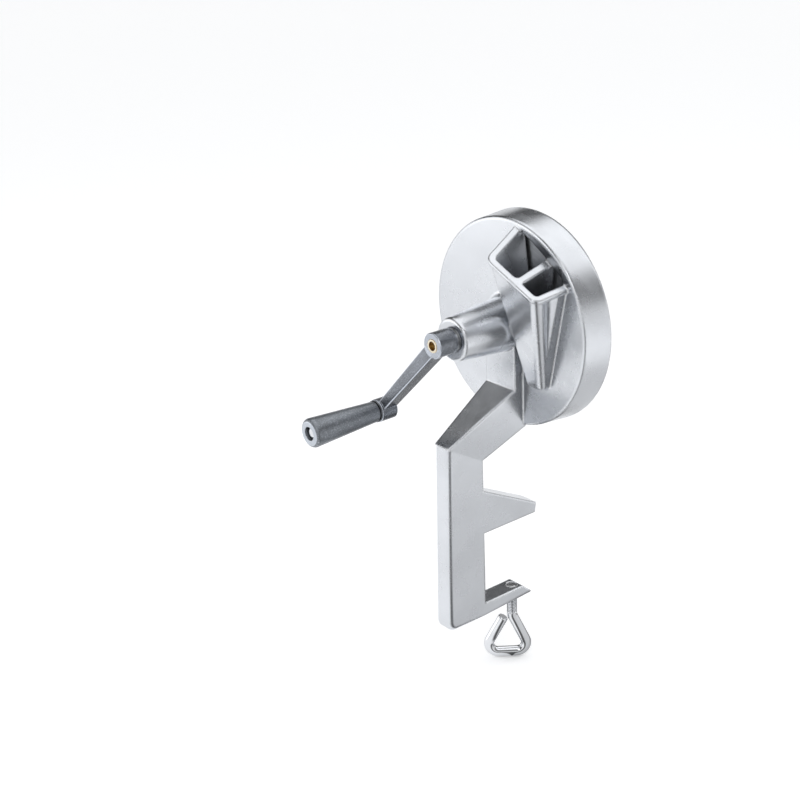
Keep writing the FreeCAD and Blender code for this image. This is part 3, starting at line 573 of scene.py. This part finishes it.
def ground_blade(settings):
    """Ground stainless blade: fine lines across its width, and rubbed edges lightened as a painted
    highlight.
    """
    colour = settings.blade_colour
    made = Finish("Ground blade", 1.0, 0.2)
    graph = made.graph
    edges = made.effect("edges", Radius=0.00015, Patch=0.002)
    marks = made.effect("marks", Length=0.01, Width=0.00012)
    rings = made.effect("rings", Spacing=0.00011)
    made.ground(graph.ramp(rings["Height"], 0.35, 0.65), rgb(colour, 0.88), rgb(colour, 1.08))
    # Rubbed edges lightened as a painted highlight
    made.tint(edges["Mask"], 0.5, rgb(RUBBED_BLADE_HIGHLIGHT))
    made.dull(marks["Smudge"], 0.14)
    height = graph.plus(rings["Height"], marks["Scratch"], -0.5)
    return made.close(height, depth=0.00002, strength=0.6, normal=edges["Normal"])


def grained_coat(name, colour, metallic, roughness, grain_size, coat, face_plane,
                 face_radius=WHOLE_FACE_RADIUS, corner_highlight=0.0):
    """Dark metallic coat with light flakes. Its edges and corners are painted light, wear with a
    painted highlight; its recesses dark with dust and painted shade; one end face light, on the
    grip a painted reflection.
    """
    made = Finish(name, metallic, roughness, Coat_Weight=coat, Coat_Roughness=0.28)
    graph = made.graph
    grain = made.effect("grain", Grain=grain_size, Cloud=0.012)
    edges = made.effect("edges", Radius=0.0006, Patch=0.0035)
    marks = made.effect("marks", Length=0.009, Width=0.00018)
    dust_and_shade = made.effect("recess", Reach=0.005)
    rings = made.effect("rings", Spacing=0.0003)
    # One end face painted lighter: on the grip a painted reflection of the bright floor, on the
    # crank the hub's front face
    face = end_mask(graph, face_plane, rings["Distance"], face_radius)
    # Corners of the crank arm painted lighter as a painted highlight
    corners = graph.times(corner_mask(graph), corner_highlight)
    made.ground(grain["Cloud"], rgb(colour, 0.85), rgb(colour, 1.1))
    made.tint(face, 0.9, rgb(colour, 2.6))
    made.tint(grain["Speck"], 0.55, rgb(colour, 2.3))
    # Dust and painted shade in the recesses
    made.tint(dust_and_shade["Mask"], 0.6, rgb(colour, 0.3))
    # Edges and corners painted lighter as a painted highlight
    made.tint(graph.math("MAXIMUM", edges["Mask"], corners), 0.75, rgb(colour, 4.0))
    made.dull(marks["Smudge"], 0.1)
    made.dull(grain["Speck"], -0.12)
    height = graph.plus(grain["Height"], marks["Scratch"], -0.3)
    return made.close(height, depth=0.00011, strength=0.8, normal=edges["Normal"])


def polished_chrome(settings):
    """Bright plating with faint haze, hairlines and oily dust in the thread, darkened further as
    painted shade.
    """
    colour = settings.chrome_colour
    made = Finish("Polished chrome", 1.0, 0.06)
    marks = made.effect("marks", Length=0.006, Width=0.00012)
    dust_and_shade = made.effect("recess", Reach=0.0012)
    made.ground(marks["Smudge"], rgb(colour), rgb(colour, 0.93))
    # Oily dust and painted shade in the thread
    made.tint(dust_and_shade["Mask"], 0.75, rgb(OILY_DUST_AND_SHADE))
    made.dull(marks["Smudge"], 0.09)
    height = made.graph.math("SUBTRACT", 1.0, marks["Scratch"])
    return made.close(height, depth=0.000008, strength=0.5)


def make_finishes(settings):
    """Every material of the object, by the record's slot name, and the collar ring's own."""
    EFFECTS.update({
        "grain": blasted_grain_group(),
        "edges": edge_group(),
        "marks": scratch_group(),
        "rings": turned_rings_group(),
        "recess": recess_group(),
    })
    FINISHES.update({
        "cast_aluminium": cast_aluminium(settings),
        "machined_aluminium": turned_metal(
            "Turned aluminium", settings.disc_colour,
            roughness=0.26, spacing=0.0004, depth=0.00003),
        "bronze": turned_metal(
            "Bronze", settings.bronze_colour, roughness=0.3, spacing=0.00022, depth=0.00002),
        "turned_steel": turned_metal(
            "Turned steel", settings.steel_colour, roughness=0.24, spacing=0.0002, depth=0.00002),
        "stainless_fastener": turned_metal(
            "Fastener steel", settings.steel_colour,
            roughness=0.2, spacing=0.00025, depth=0.000015),
        "brass": turned_metal(
            "Brass", settings.brass_colour, roughness=0.22, spacing=0.0002, depth=0.00002,
            face_plane=INSERT_FRONT + INSERT_FACE_DEPTH, face_colour=settings.brass_face_colour),
        "dark_steel": turned_metal(
            "Dark steel", settings.ring_colour, roughness=0.3, spacing=0.0002, depth=0.00002),
        "stainless_blade": ground_blade(settings),
        "grey_lacquer": grained_coat(
            "Grey lacquer", settings.lacquer_colour, metallic=1.0, roughness=0.24,
            grain_size=0.0006, coat=0.2, face_plane=INSERT_FRONT + HUB_FACE_DEPTH,
            face_radius=HUB_FACE_RADIUS, corner_highlight=0.8),
        "grip_plastic": grained_coat(
            "Grained grip", settings.grip_colour, metallic=0.85, roughness=0.36,
            grain_size=0.0007, coat=0.15, face_plane=GRIP_LOW.y + GRIP_FACE_DEPTH),
        "chrome": polished_chrome(settings),
    })


def finish_piece(piece, slot_name):
    """Gives a piece the material of its slot's finish."""
    piece.data.materials.clear()
    piece.data.materials.append(FINISHES[slot_name])
    for polygon in piece.data.polygons:
        polygon.use_smooth = True


def linked_object(name, data):
    """A new object at the origin, in the scene."""
    made = bpy.data.objects.new(name, data)
    bpy.context.scene.collection.objects.link(made)
    return made


def from_bmesh(name, shape):
    """A mesh object at the origin from a finished bmesh."""
    bmesh.ops.remove_doubles(shape, verts=shape.verts, dist=1e-7)
    bmesh.ops.recalc_face_normals(shape, faces=shape.faces)
    mesh = bpy.data.meshes.new(name)
    shape.to_mesh(mesh)
    shape.free()
    return linked_object(name, mesh)


def arc_corner(before, corner, after, radius, steps):
    """Points of a tangent arc that rounds a corner of an outline."""
    inward = (before - corner).normalized()
    outward = (after - corner).normalized()
    half = inward.angle(outward) / 2
    reach = radius / math.tan(half)
    centre = corner + (inward + outward).normalized() * (radius / math.sin(half))
    first = (corner + inward * reach - centre).normalized()
    last = (corner + outward * reach - centre).normalized()
    return [centre + first.slerp(last, step / steps) * radius for step in range(steps + 1)]


def rounded_outline(points, radii, steps=8):
    """An open outline whose inner corners are rounded by the radii given."""
    line = [points[0]]
    for index, radius in enumerate(radii, 1):
        line += arc_corner(points[index - 1], points[index], points[index + 1], radius, steps)
    line.append(points[-1])
    return line


def turned_piece(name, outline, axis_point, around=96):
    """A solid turned about a line along Y; the outline is (radius, y) points."""
    shape = bmesh.new()
    rings = []
    for radius, y in outline:
        ring = []
        for index in range(around):
            angle = 2 * math.pi * index / around
            ring.append(shape.verts.new((axis_point.x + radius * math.cos(angle), y,
                                         axis_point.z + radius * math.sin(angle))))
        rings.append(ring)
    for first, second in zip(rings, rings[1:] + rings[:1]):
        for index in range(around):
            after = (index + 1) % around
            shape.faces.new((first[index], first[after], second[after], second[index]))
    return from_bmesh(name, shape)


def sharp_by_angle(piece, degrees):
    """Marks edges sharper than the angle so that smooth shading stops there."""
    shape = bmesh.new()
    shape.from_mesh(piece.data)
    for edge in shape.edges:
        edge.smooth = edge.calc_face_angle(0.0) < math.radians(degrees)
    shape.to_mesh(piece.data)
    shape.free()


def labelled(settings, *keys):
    """Settings by the labels of a geometry tree's inputs."""
    return {key.replace("_", " ").capitalize(): getattr(settings, key) for key in keys}


def grown_piece(name, mesh, make_tree, inputs):
    """The plain mesh that a geometry tree grows from a mesh, which may be empty."""
    source = linked_object(name + " source", mesh)
    modifier = source.modifiers.new("Grown", "NODES")
    modifier.node_group = make_tree(inputs)
    for item in modifier.node_group.interface.items_tree:
        if item.in_out == "INPUT" and item.name in inputs:
            modifier[item.identifier] = inputs[item.name]
    graph = bpy.context.evaluated_depsgraph_get()
    grown = bpy.data.meshes.new_from_object(source.evaluated_get(graph), depsgraph=graph)
    grown.name = name
    bpy.data.objects.remove(source)
    return linked_object(name, grown)


def new_geometry_tree(name, inputs):
    """A geometry tree with its inputs; returns a graph, the group input and the output socket."""
    kinds = {float: NUMBER, int: "NodeSocketInt", Vector: TRIPLE,
             bpy.types.Material: "NodeSocketMaterial"}
    tree = bpy.data.node_groups.new(name, "GeometryNodeTree")
    tree.is_modifier = True
    tree.interface.new_socket(name="Geometry", in_out="INPUT", socket_type="NodeSocketGeometry")
    for label, value in inputs.items():
        socket = tree.interface.new_socket(
            name=label, in_out="INPUT", socket_type=kinds[type(value)])
        socket.default_value = value
    tree.interface.new_socket(name="Geometry", in_out="OUTPUT", socket_type="NodeSocketGeometry")
    start = tree.nodes.new("NodeGroupInput").outputs
    end = tree.nodes.new("NodeGroupOutput").inputs["Geometry"]
    return Graph(tree), start, end


def moved(graph, shape, place, turn=(0, 0, 0)):
    """A shape of a geometry tree, turned and then moved."""
    return graph.add("GeometryNodeTransform", {
        "Geometry": shape, "Translation": place, "Rotation": turn}).outputs[0]


def end_tree(graph, shape, material, end):
    """Closes a geometry tree with real geometry and its material."""
    real = graph.add("GeometryNodeRealizeInstances", {"Geometry": shape}).outputs[0]
    set_material = graph.add("GeometryNodeSetMaterial", {"Geometry": real, "Material": material})
    graph.feed(end, set_material.outputs[0])
    return graph.tree


def threaded_rod_tree(inputs):
    """Sweeps a rod along a path and presses a right-handed thread into its marked stretch."""
    graph, start, end = new_geometry_tree("Threaded rod", inputs)
    path = graph.add("GeometryNodeMeshToCurve", {"Mesh": start["Geometry"]}).outputs[0]
    here = graph.add("GeometryNodeInputPosition").outputs[0]
    capture = graph.add("GeometryNodeCaptureAttribute", domain="POINT")
    capture.capture_items.new("VECTOR", "Centre")
    graph.feed(capture.inputs["Geometry"], path)
    graph.feed(capture.inputs["Centre"], here)
    centre = capture.outputs["Centre"]
    ring = graph.add("GeometryNodeCurvePrimitiveCircle", {
        "Resolution": start["Ring points"], "Radius": start["Radius"]}).outputs[0]
    tube = graph.add("GeometryNodeCurveToMesh", {
        "Curve": capture.outputs["Geometry"], "Profile Curve": ring,
        "Fill Caps": True}).outputs[0]
    outward = graph.vector("NORMALIZE", graph.vector("SUBTRACT", here, centre))
    parts = graph.parts(graph.vector("SUBTRACT", here, start["Axis"]))
    angle = graph.math("DIVIDE", graph.math("ARCTAN2", parts["Y"], parts["X"]), 2 * math.pi)
    turns = graph.math("DIVIDE", parts["Z"], start["Pitch"])
    phase = graph.math("FRACT", graph.math("SUBTRACT", turns, angle))
    off_middle = graph.math("ABSOLUTE", graph.math("SUBTRACT", phase, 0.5))
    groove = graph.ramp(graph.times(off_middle, 2.0), *THREAD_FLANK, 1.0, 0.0)
    threaded, taper = [
        graph.add("GeometryNodeInputNamedAttribute", {"Name": name}, data_type="FLOAT").outputs[0]
        for name in ("threaded", "taper")]
    cut = graph.times(graph.times(groove, threaded), start["Depth"])
    reach = graph.math("SUBTRACT", graph.math("SUBTRACT", start["Radius"], cut), taper)
    offset = graph.add("ShaderNodeVectorMath", {0: outward, "Scale": reach}, operation="SCALE")
    placed = graph.vector("ADD", centre, offset.outputs["Vector"])
    rod = graph.add("GeometryNodeSetPosition", {"Geometry": tube, "Position": placed}).outputs[0]
    return end_tree(graph, rod, start["Material"], end)


def straight_run(first, last, spacing):
    """Evenly spaced points from the first up to, but not with, the last."""
    count = max(1, round((last - first).length / spacing))
    return [first.lerp(last, index / count) for index in range(count)]


def rod_path(settings):
    """Middle line of the clamp rod from its top round the loop, in its own plane."""
    end_x = -2 * settings.radius - LOOP_END_GAP
    middle = end_x / 2
    spread = settings.loop_width / 2 - settings.radius + LOOP_BEND_SHARE * settings.loop_bend
    bottom = ROD_LOW.z + settings.radius
    shoulder = bottom + settings.loop_drop - settings.radius
    free_end = shoulder - FREE_END_DROP_SHARE * settings.radius
    corners = [
        Vector((0, 0, ROD_HIGH.z)),
        Vector((0, 0, shoulder)),
        Vector((middle + spread, 0, bottom)),
        Vector((middle - spread, 0, bottom)),
        Vector((end_x + FREE_END_LEAN, 0, free_end)),
    ]
    line = [corners[0]]
    for index in range(1, len(corners) - 1):
        before, corner, after = corners[index - 1:index + 2]
        bend = arc_corner(before, corner, after, settings.loop_bend, BEND_STEPS)
        step = settings.pitch / STEPS_PER_THREAD if index == 1 else ROD_STEP
        begin = line.pop()
        line += straight_run(begin, bend[0], step) + bend
    begin = line.pop()
    return line + straight_run(begin, corners[-1], ROD_STEP) + [corners[-1]]


def rod_path_mesh(settings):
    """The rod's path as a mesh of edges that says where it is threaded and tapered."""
    line = rod_path(settings)
    turn = Matrix.Translation(SCREW_AXIS) @ Matrix.Rotation(settings.loop_turn, 4, "Z")
    mesh = bpy.data.meshes.new("rod path")
    mesh.from_pydata([turn @ point for point in line],
                     [(index, index + 1) for index in range(len(line) - 1)], [])
    threaded = mesh.attributes.new("threaded", "FLOAT", "POINT")
    taper = mesh.attributes.new("taper", "FLOAT", "POINT")
    fade = THREAD_RUN_OUT * settings.pitch
    for index, point in enumerate(line):
        narrower = FREE_END_CHAMFER - (point - line[-1]).length
        thread = 0.0
        if abs(point.x) < ON_AXIS:
            thread = (point.z + settings.thread_end) / fade
            narrower = max(narrower, TOP_CHAMFER - (ROD_HIGH.z - point.z))
        threaded.data[index].value = max(0.0, min(1.0, thread))
        taper.data[index].value = max(0.0, narrower)
    return mesh


def open_socket(piece, top, radius, depth):
    """Opens the bore in the rod's upper end where the turning tip's stem sits."""
    shape = bmesh.new()
    shape.from_mesh(piece.data)
    caps = [face for face in shape.faces
            if len(face.verts) > 4 and face.calc_center_median().z > top - NEAR_TOP]
    for cap in caps:
        bmesh.ops.inset_individual(shape, faces=[cap], thickness=0.0)
        centre = cap.calc_center_median()
        for vert in cap.verts:
            vert.co = centre + (vert.co - centre).normalized() * radius
        bottom = bmesh.ops.extrude_discrete_faces(shape, faces=[cap])["faces"][0]
        for vert in bottom.verts:
            vert.co.z -= depth
    bmesh.ops.recalc_face_normals(shape, faces=shape.faces)
    shape.to_mesh(piece.data)
    shape.free()


def screw_head(graph, start):
    """One head that faces up: a flat cylinder, domed and then slotted."""
    half_rise = graph.times(start["Head rise"], 0.5)
    head = graph.add("GeometryNodeMeshCylinder", {
        "Vertices": 56, "Side Segments": 4, "Fill Segments": 7,
        "Radius": start["Head radius"], "Depth": start["Head rise"]}).outputs["Mesh"]
    parts = graph.parts(graph.add("GeometryNodeInputPosition").outputs[0])
    from_axis = graph.measure("LENGTH", graph.triple(parts["X"], parts["Y"]))
    spread = graph.math("DIVIDE", from_axis, start["Head radius"])
    share = graph.math("DIVIDE", graph.math("ADD", parts["Z"], half_rise), start["Head rise"])
    drop = graph.times(graph.math("POWER", spread, DOME_POWER), start["Crown"])
    sunk = graph.times(graph.times(drop, share), -1.0)
    domed = graph.add("GeometryNodeSetPosition", {
        "Geometry": head, "Offset": graph.triple(z=sunk)}).outputs[0]
    slot_size = graph.triple(
        graph.times(start["Head radius"], 3.0), start["Slot width"],
        graph.times(start["Slot width"], 2.0))
    slot = graph.add("GeometryNodeMeshCube", {"Size": slot_size}).outputs["Mesh"]
    slot = moved(graph, slot, graph.triple(z=half_rise))
    slotted = graph.add("GeometryNodeMeshBoolean", {"Mesh 1": domed, "Mesh 2": slot},
                        operation="DIFFERENCE", solver="EXACT").outputs["Mesh"]
    place = graph.triple(y=graph.math("ADD", start["Seat"], half_rise))
    return moved(graph, slotted, place, turn=(-math.pi / 2, 0, 0))


def screw_shank(graph, start):
    """One plain shank from the head's seat to the shank's end."""
    length = graph.math("SUBTRACT", start["Seat"], start["Shank end"])
    shank = graph.add("GeometryNodeMeshCylinder", {
        "Vertices": 32, "Radius": start["Shank radius"], "Depth": length}).outputs["Mesh"]
    both_ends = graph.math("ADD", start["Seat"], start["Shank end"])
    place = graph.triple(y=graph.times(both_ends, 0.5))
    return moved(graph, shank, place, turn=(math.pi / 2, 0, 0))


def slotted_screws_tree(inputs):
    """Domed and slotted screws, two in a row for each blade, turned about the crank axis."""
    graph, start, end = new_geometry_tree("Slotted screws", inputs)
    screw = graph.add("GeometryNodeJoinGeometry")
    for part in (screw_head(graph, start), screw_shank(graph, start)):
        graph.feed(screw.inputs[0], part)
    index = graph.add("GeometryNodeInputIndex").outputs[0]
    second = graph.math("MODULO", index, 2.0)
    blade = graph.math("FLOOR", graph.math("DIVIDE", index, 2.0))
    turn = graph.times(blade, graph.math("DIVIDE", 2 * math.pi, start["Blades"]))
    step = graph.math("SUBTRACT", start["Outer place"], start["Inner place"])
    along = graph.plus(start["Inner place"], second, step)
    straight = graph.triple(x=along, z=start["Line offset"])
    around = graph.add("ShaderNodeVectorRotate", {"Vector": straight, "Angle": turn},
                       rotation_type="Y_AXIS").outputs[0]
    raised = graph.triple(z=start["Axis height"])
    points = graph.add("GeometryNodePoints", {
        "Count": graph.times(start["Blades"], 2.0),
        "Position": graph.vector("ADD", around, raised)}).outputs[0]
    uneven = graph.add("FunctionNodeRandomValue", {
        "Min": -SLOT_TURN, "Max": SLOT_TURN, "ID": index, "Seed": SLOT_SEED},
        data_type="FLOAT").outputs["Value"]
    placed = graph.add("GeometryNodeInstanceOnPoints", {
        "Points": points, "Instance": screw.outputs[0],
        "Rotation": graph.triple(y=uneven)}).outputs[0]
    return end_tree(graph, placed, start["Material"], end)


class SLICER_OT_finishes(bpy.types.Operator):
    """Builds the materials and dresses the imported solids."""

    bl_idname = "slicer.finishes"
    bl_label = "Finishes"

    def execute(self, context):
        make_finishes(context.scene.slicer_finishes)
        slots = {row["node"]: row["material_slot"] for row in frame["record"]["subparts"]}
        slots["collar_ring"] = "dark_steel"
        for name, node in frame["nodes"].items():
            node.data.materials.clear()
            node.data.materials.append(FINISHES[slots[name]])
        return {"FINISHED"}


class SLICER_OT_clamp_rod(bpy.types.Operator):
    """Clamp rod: threaded above, bent into a teardrop loop below."""

    bl_idname = "slicer.clamp_rod"
    bl_label = "Clamp rod"

    def execute(self, context):
        settings = context.scene.slicer_clamp_rod
        inputs = labelled(settings, "radius", "pitch", "depth", "ring_points")
        inputs.update({"Axis": SCREW_AXIS, "Material": FINISHES["chrome"]})
        piece = grown_piece(
            "clamp_rod_threaded", rod_path_mesh(settings), threaded_rod_tree, inputs)
        open_socket(piece, ROD_HIGH.z, SOCKET_RADIUS, SOCKET_DEPTH)
        sharp_by_angle(piece, degrees=50)
        finish_piece(piece, "chrome")
        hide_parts("clamp_screw")
        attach(piece, "clamp_screw")
        return {"FINISHED"}


class SLICER_OT_blade_screws(bpy.types.Operator):
    """Slotted screws with domed heads behind the knife disc."""

    bl_idname = "slicer.blade_screws"
    bl_label = "Blade screws"

    def execute(self, context):
        settings = context.scene.slicer_screws
        inputs = labelled(
            settings, "blades", "inner_place", "outer_place", "line_offset", "head_radius",
            "head_rise", "crown", "shank_radius", "slot_width")
        inputs.update({
            "Seat": SCREWS_HIGH.y - settings.head_rise, "Shank end": SCREWS_LOW.y,
            "Axis height": CRANK_AXIS.z, "Material": FINISHES["stainless_fastener"]})
        piece = grown_piece(
            "blade_screws_slotted", bpy.data.meshes.new("no points"), slotted_screws_tree, inputs)
        sharp_by_angle(piece, degrees=35)
        finish_piece(piece, "stainless_fastener")
        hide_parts("blade_screws")
        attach(piece, "rotor")
        return {"FINISHED"}


class SLICER_OT_grip(bpy.types.Operator):
    """Tapered grip with a recess for the pin's head."""

    bl_idname = "slicer.grip"
    bl_label = "Grip"

    def execute(self, context):
        settings = context.scene.slicer_grip
        end, start = GRIP_LOW.y, GRIP_HIGH.y
        points = [Vector(pair) for pair in (
            (settings.bore_radius, start),
            (settings.inner_radius, start),
            (settings.outer_radius, end),
            (settings.recess_radius, end),
            (settings.recess_radius, end + settings.recess_depth),
            (settings.bore_radius, end + settings.recess_depth),
        )]
        radii = (settings.neck_round, settings.end_round, RECESS_EDGE_ROUND, RECESS_FLOOR_ROUND)
        piece = turned_piece("grip_grained", rounded_outline(points, radii), GRIP_AXIS)
        sharp_by_angle(piece, degrees=40)
        finish_piece(piece, "grip_plastic")
        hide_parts("grip")
        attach(piece, "grip")
        return {"FINISHED"}


class SLICER_OT_stage(bpy.types.Operator):
    """Plain floor, soft lamps, backdrop and camera."""

    bl_idname = "slicer.stage"
    bl_label = "Stage"

    def execute(self, context):
        settings = context.scene.slicer_stage
        make_floor(settings)
        make_backdrop(context.scene, settings)
        make_lamps()
        make_camera(context.scene, settings)
        context.scene.view_settings.view_transform = "Standard"
        return {"FINISHED"}


def seen_rays(graph):
    """The light path's outputs, and one for rays that show a thing rather than light another."""
    path = graph.add("ShaderNodeLightPath").outputs
    seen = graph.math("MAXIMUM", path["Is Camera Ray"], path["Is Glossy Ray"])
    return path, graph.math("MAXIMUM", seen, path["Is Transmission Ray"])


def floor_level(graph, settings):
    """Brightness of the floor in metals: plain, but for grey stretches, a dark card and a painted
    shadow under the object.
    """
    flat = graph.place(stretch=(1, 1, 0))
    toward = graph.vector("NORMALIZE", flat)
    reach = graph.measure("LENGTH", flat)
    behind = graph.measure("DISTANCE", flat, settings.rear_shadow)
    side = graph.measure("DOT_PRODUCT", toward, settings.grey_side)
    card = graph.measure("DOT_PRODUCT", toward, settings.card_side)
    near = graph.times(graph.ramp(side, *NEAR_SIDE), graph.ramp(reach, *NEAR_REACH))
    far = graph.times(graph.ramp(side, *FAR_SIDE), graph.ramp(reach, *FAR_REACH))
    near_level = graph.ramp(near, 0.0, 1.0, 1.0, settings.grey_level, smooth=False)
    far_level = graph.ramp(far, 0.0, 1.0, 1.0, settings.far_level, smooth=False)
    card_level = graph.ramp(card, *CARD_EDGE, 1.0, settings.card_level)
    # Painted shadow under the object, seen only in reflections
    rear_shadow_level = graph.ramp(behind, *REAR_SHADOW_REACH, 2 * settings.card_level, 1.0)
    grey = graph.times(near_level, far_level)
    dark = graph.times(card_level, rear_shadow_level)
    return graph.times(grey, dark)


def make_floor(settings):
    """A wide round floor just under the loop."""
    shape = bmesh.new()
    bmesh.ops.create_circle(shape, cap_ends=True, segments=96, radius=FLOOR_RADIUS)
    for vert in shape.verts:
        vert.co.z = CAD_BOX[0][2] - settings.floor_gap
    floor = from_bmesh("floor", shape)
    material = bpy.data.materials.new("Floor")
    material.use_nodes = True
    graph = Graph(material.node_tree)
    sockets = material.node_tree.nodes["Principled BSDF"].inputs
    mottle = graph.noise(graph.place(), 30.0, detail=4.0)
    tone = graph.blend(mottle, rgb(settings.floor_colour), rgb(settings.floor_colour, 0.985))
    path, seen = seen_rays(graph)
    darker = graph.math("SUBTRACT", floor_level(graph, settings), 1.0)
    level = graph.plus(1.0, path["Is Glossy Ray"], darker)
    glow = graph.times(seen, settings.floor_glow)
    graph.feed(sockets["Roughness"], 0.75)
    graph.feed(sockets["Base Color"], graph.blend(level, rgb((0, 0, 0)), tone))
    graph.feed(sockets["Emission Color"], rgb((1, 1, 1)))
    graph.feed(sockets["Emission Strength"], graph.times(glow, level))
    floor.data.materials.append(material)


def make_backdrop(scene, settings):
    """An even pale backdrop, which metals see with a darker band and a bright ceiling above it."""
    world = bpy.data.worlds.new("Backdrop")
    world.use_nodes = True
    scene.world = world
    graph = Graph(world.node_tree)
    shown = world.node_tree.nodes["Background"]
    out = world.node_tree.nodes["World Output"]
    direction = graph.parts(graph.add("ShaderNodeTexCoord").outputs["Generated"])
    rise = direction["Z"]
    band = graph.ramp(direction["X"], *CHUTE_SIDE, settings.band, settings.side_band)
    wall = graph.ramp(rise, *WALL_RISE, settings.horizon, band)
    rear = graph.times(graph.ramp(rise, *REAR_RISE), graph.ramp(direction["Y"], *REAR_SIDE))
    above = graph.math("MAXIMUM", graph.ramp(rise, *CEILING_RISE), rear)
    level = graph.ramp(above, 0.0, 1.0, wall, settings.ceiling, smooth=False)
    path, seen = seen_rays(graph)
    level = graph.ramp(path["Is Camera Ray"], 0.0, 1.0, level, settings.horizon, smooth=False)
    graph.feed(shown.inputs["Color"], rgb(BACKDROP_TINT))
    graph.feed(shown.inputs["Strength"], level)
    soft = graph.add("ShaderNodeBackground", {
        "Color": rgb(SOFT_LIGHT_TINT), "Strength": SOFT_LIGHT_LEVEL})
    mixed = graph.add("ShaderNodeMixShader", {0: seen, 1: soft.outputs[0], 2: shown.outputs[0]})
    graph.feed(out.inputs["Surface"], mixed.outputs[0])


def make_lamps():
    """Soft lamps: a tall one at the left of the crank side, one over the camera, one behind."""
    for row in LAMPS:
        light = bpy.data.lights.new(row["name"], "AREA")
        light.shape = "RECTANGLE"
        light.size = row["width"]
        light.size_y = row["height"]
        light.energy = row["power"]
        lamp = linked_object(row["name"], light)
        lamp.location = row["place"]
        toward = LAMP_AIM - Vector(row["place"])
        lamp.rotation_euler = toward.to_track_quat("-Z", "Y").to_euler()
        lamp.visible_camera = False


def make_camera(scene, settings):
    """The camera at the picture's viewing angle."""
    data = bpy.data.cameras.new("camera")
    data.sensor_width = 36.0
    data.lens = settings.lens
    data.clip_start = 0.01
    data.clip_end = 100.0
    camera = linked_object("camera", data)
    scene.camera = camera
    turn, rise = settings.azimuth, settings.elevation
    level = Vector((math.sin(turn), -math.cos(turn), 0))
    back = level * math.cos(rise) + Vector((0, 0, math.sin(rise)))
    right = Vector((math.cos(turn), math.sin(turn), 0))
    up = back.cross(right)
    tilted_right = right * math.cos(settings.roll) + up * math.sin(settings.roll)
    axes = Matrix((tilted_right, back.cross(tilted_right), back)).transposed()
    place = Matrix.Translation(Vector(settings.aim) + back * settings.distance)
    camera.matrix_world = place @ axes.to_4x4()


class SLICER_PT_panel(bpy.types.Panel):
    """Sizes, colours and builders of the slicer."""

    bl_label = "Bean slicer"
    bl_idname = "SLICER_PT_panel"
    bl_space_type = "VIEW_3D"
    bl_region_type = "UI"
    bl_category = "Slicer"

    def draw(self, context):
        for name, _group in SETTING_GROUPS:
            box = self.layout.box()
            settings = getattr(context.scene, name)
            for item in settings.bl_rna.properties:
                if not item.is_readonly and item.identifier not in ("rna_type", "name"):
                    box.prop(settings, item.identifier)
        for operator in OPERATORS:
            self.layout.operator(operator.bl_idname)


SETTING_GROUPS = (
    ("slicer_finishes", SlicerFinishes),
    ("slicer_clamp_rod", SlicerClampRod),
    ("slicer_screws", SlicerScrews),
    ("slicer_grip", SlicerGrip),
    ("slicer_stage", SlicerStage),
)
OPERATORS = (
    SLICER_OT_finishes,
    SLICER_OT_clamp_rod,
    SLICER_OT_blade_screws,
    SLICER_OT_grip,
    SLICER_OT_stage,
)


def register():
    for name, group in SETTING_GROUPS:
        bpy.utils.register_class(group)
        setattr(bpy.types.Scene, name, bpy.props.PointerProperty(type=group))
    for operator in OPERATORS:
        bpy.utils.register_class(operator)
    bpy.utils.register_class(SLICER_PT_panel)


def unregister():
    bpy.utils.unregister_class(SLICER_PT_panel)
    for operator in reversed(OPERATORS):
        bpy.utils.unregister_class(operator)
    for name, group in reversed(SETTING_GROUPS):
        delattr(bpy.types.Scene, name)
        bpy.utils.unregister_class(group)


def main():
    """Registers the parts of the add-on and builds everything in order."""
    register()
    for operator in OPERATORS:
        area, name = operator.bl_idname.split(".")
        getattr(getattr(bpy.ops, area), name)()


if __name__ == "__main__":
    main()
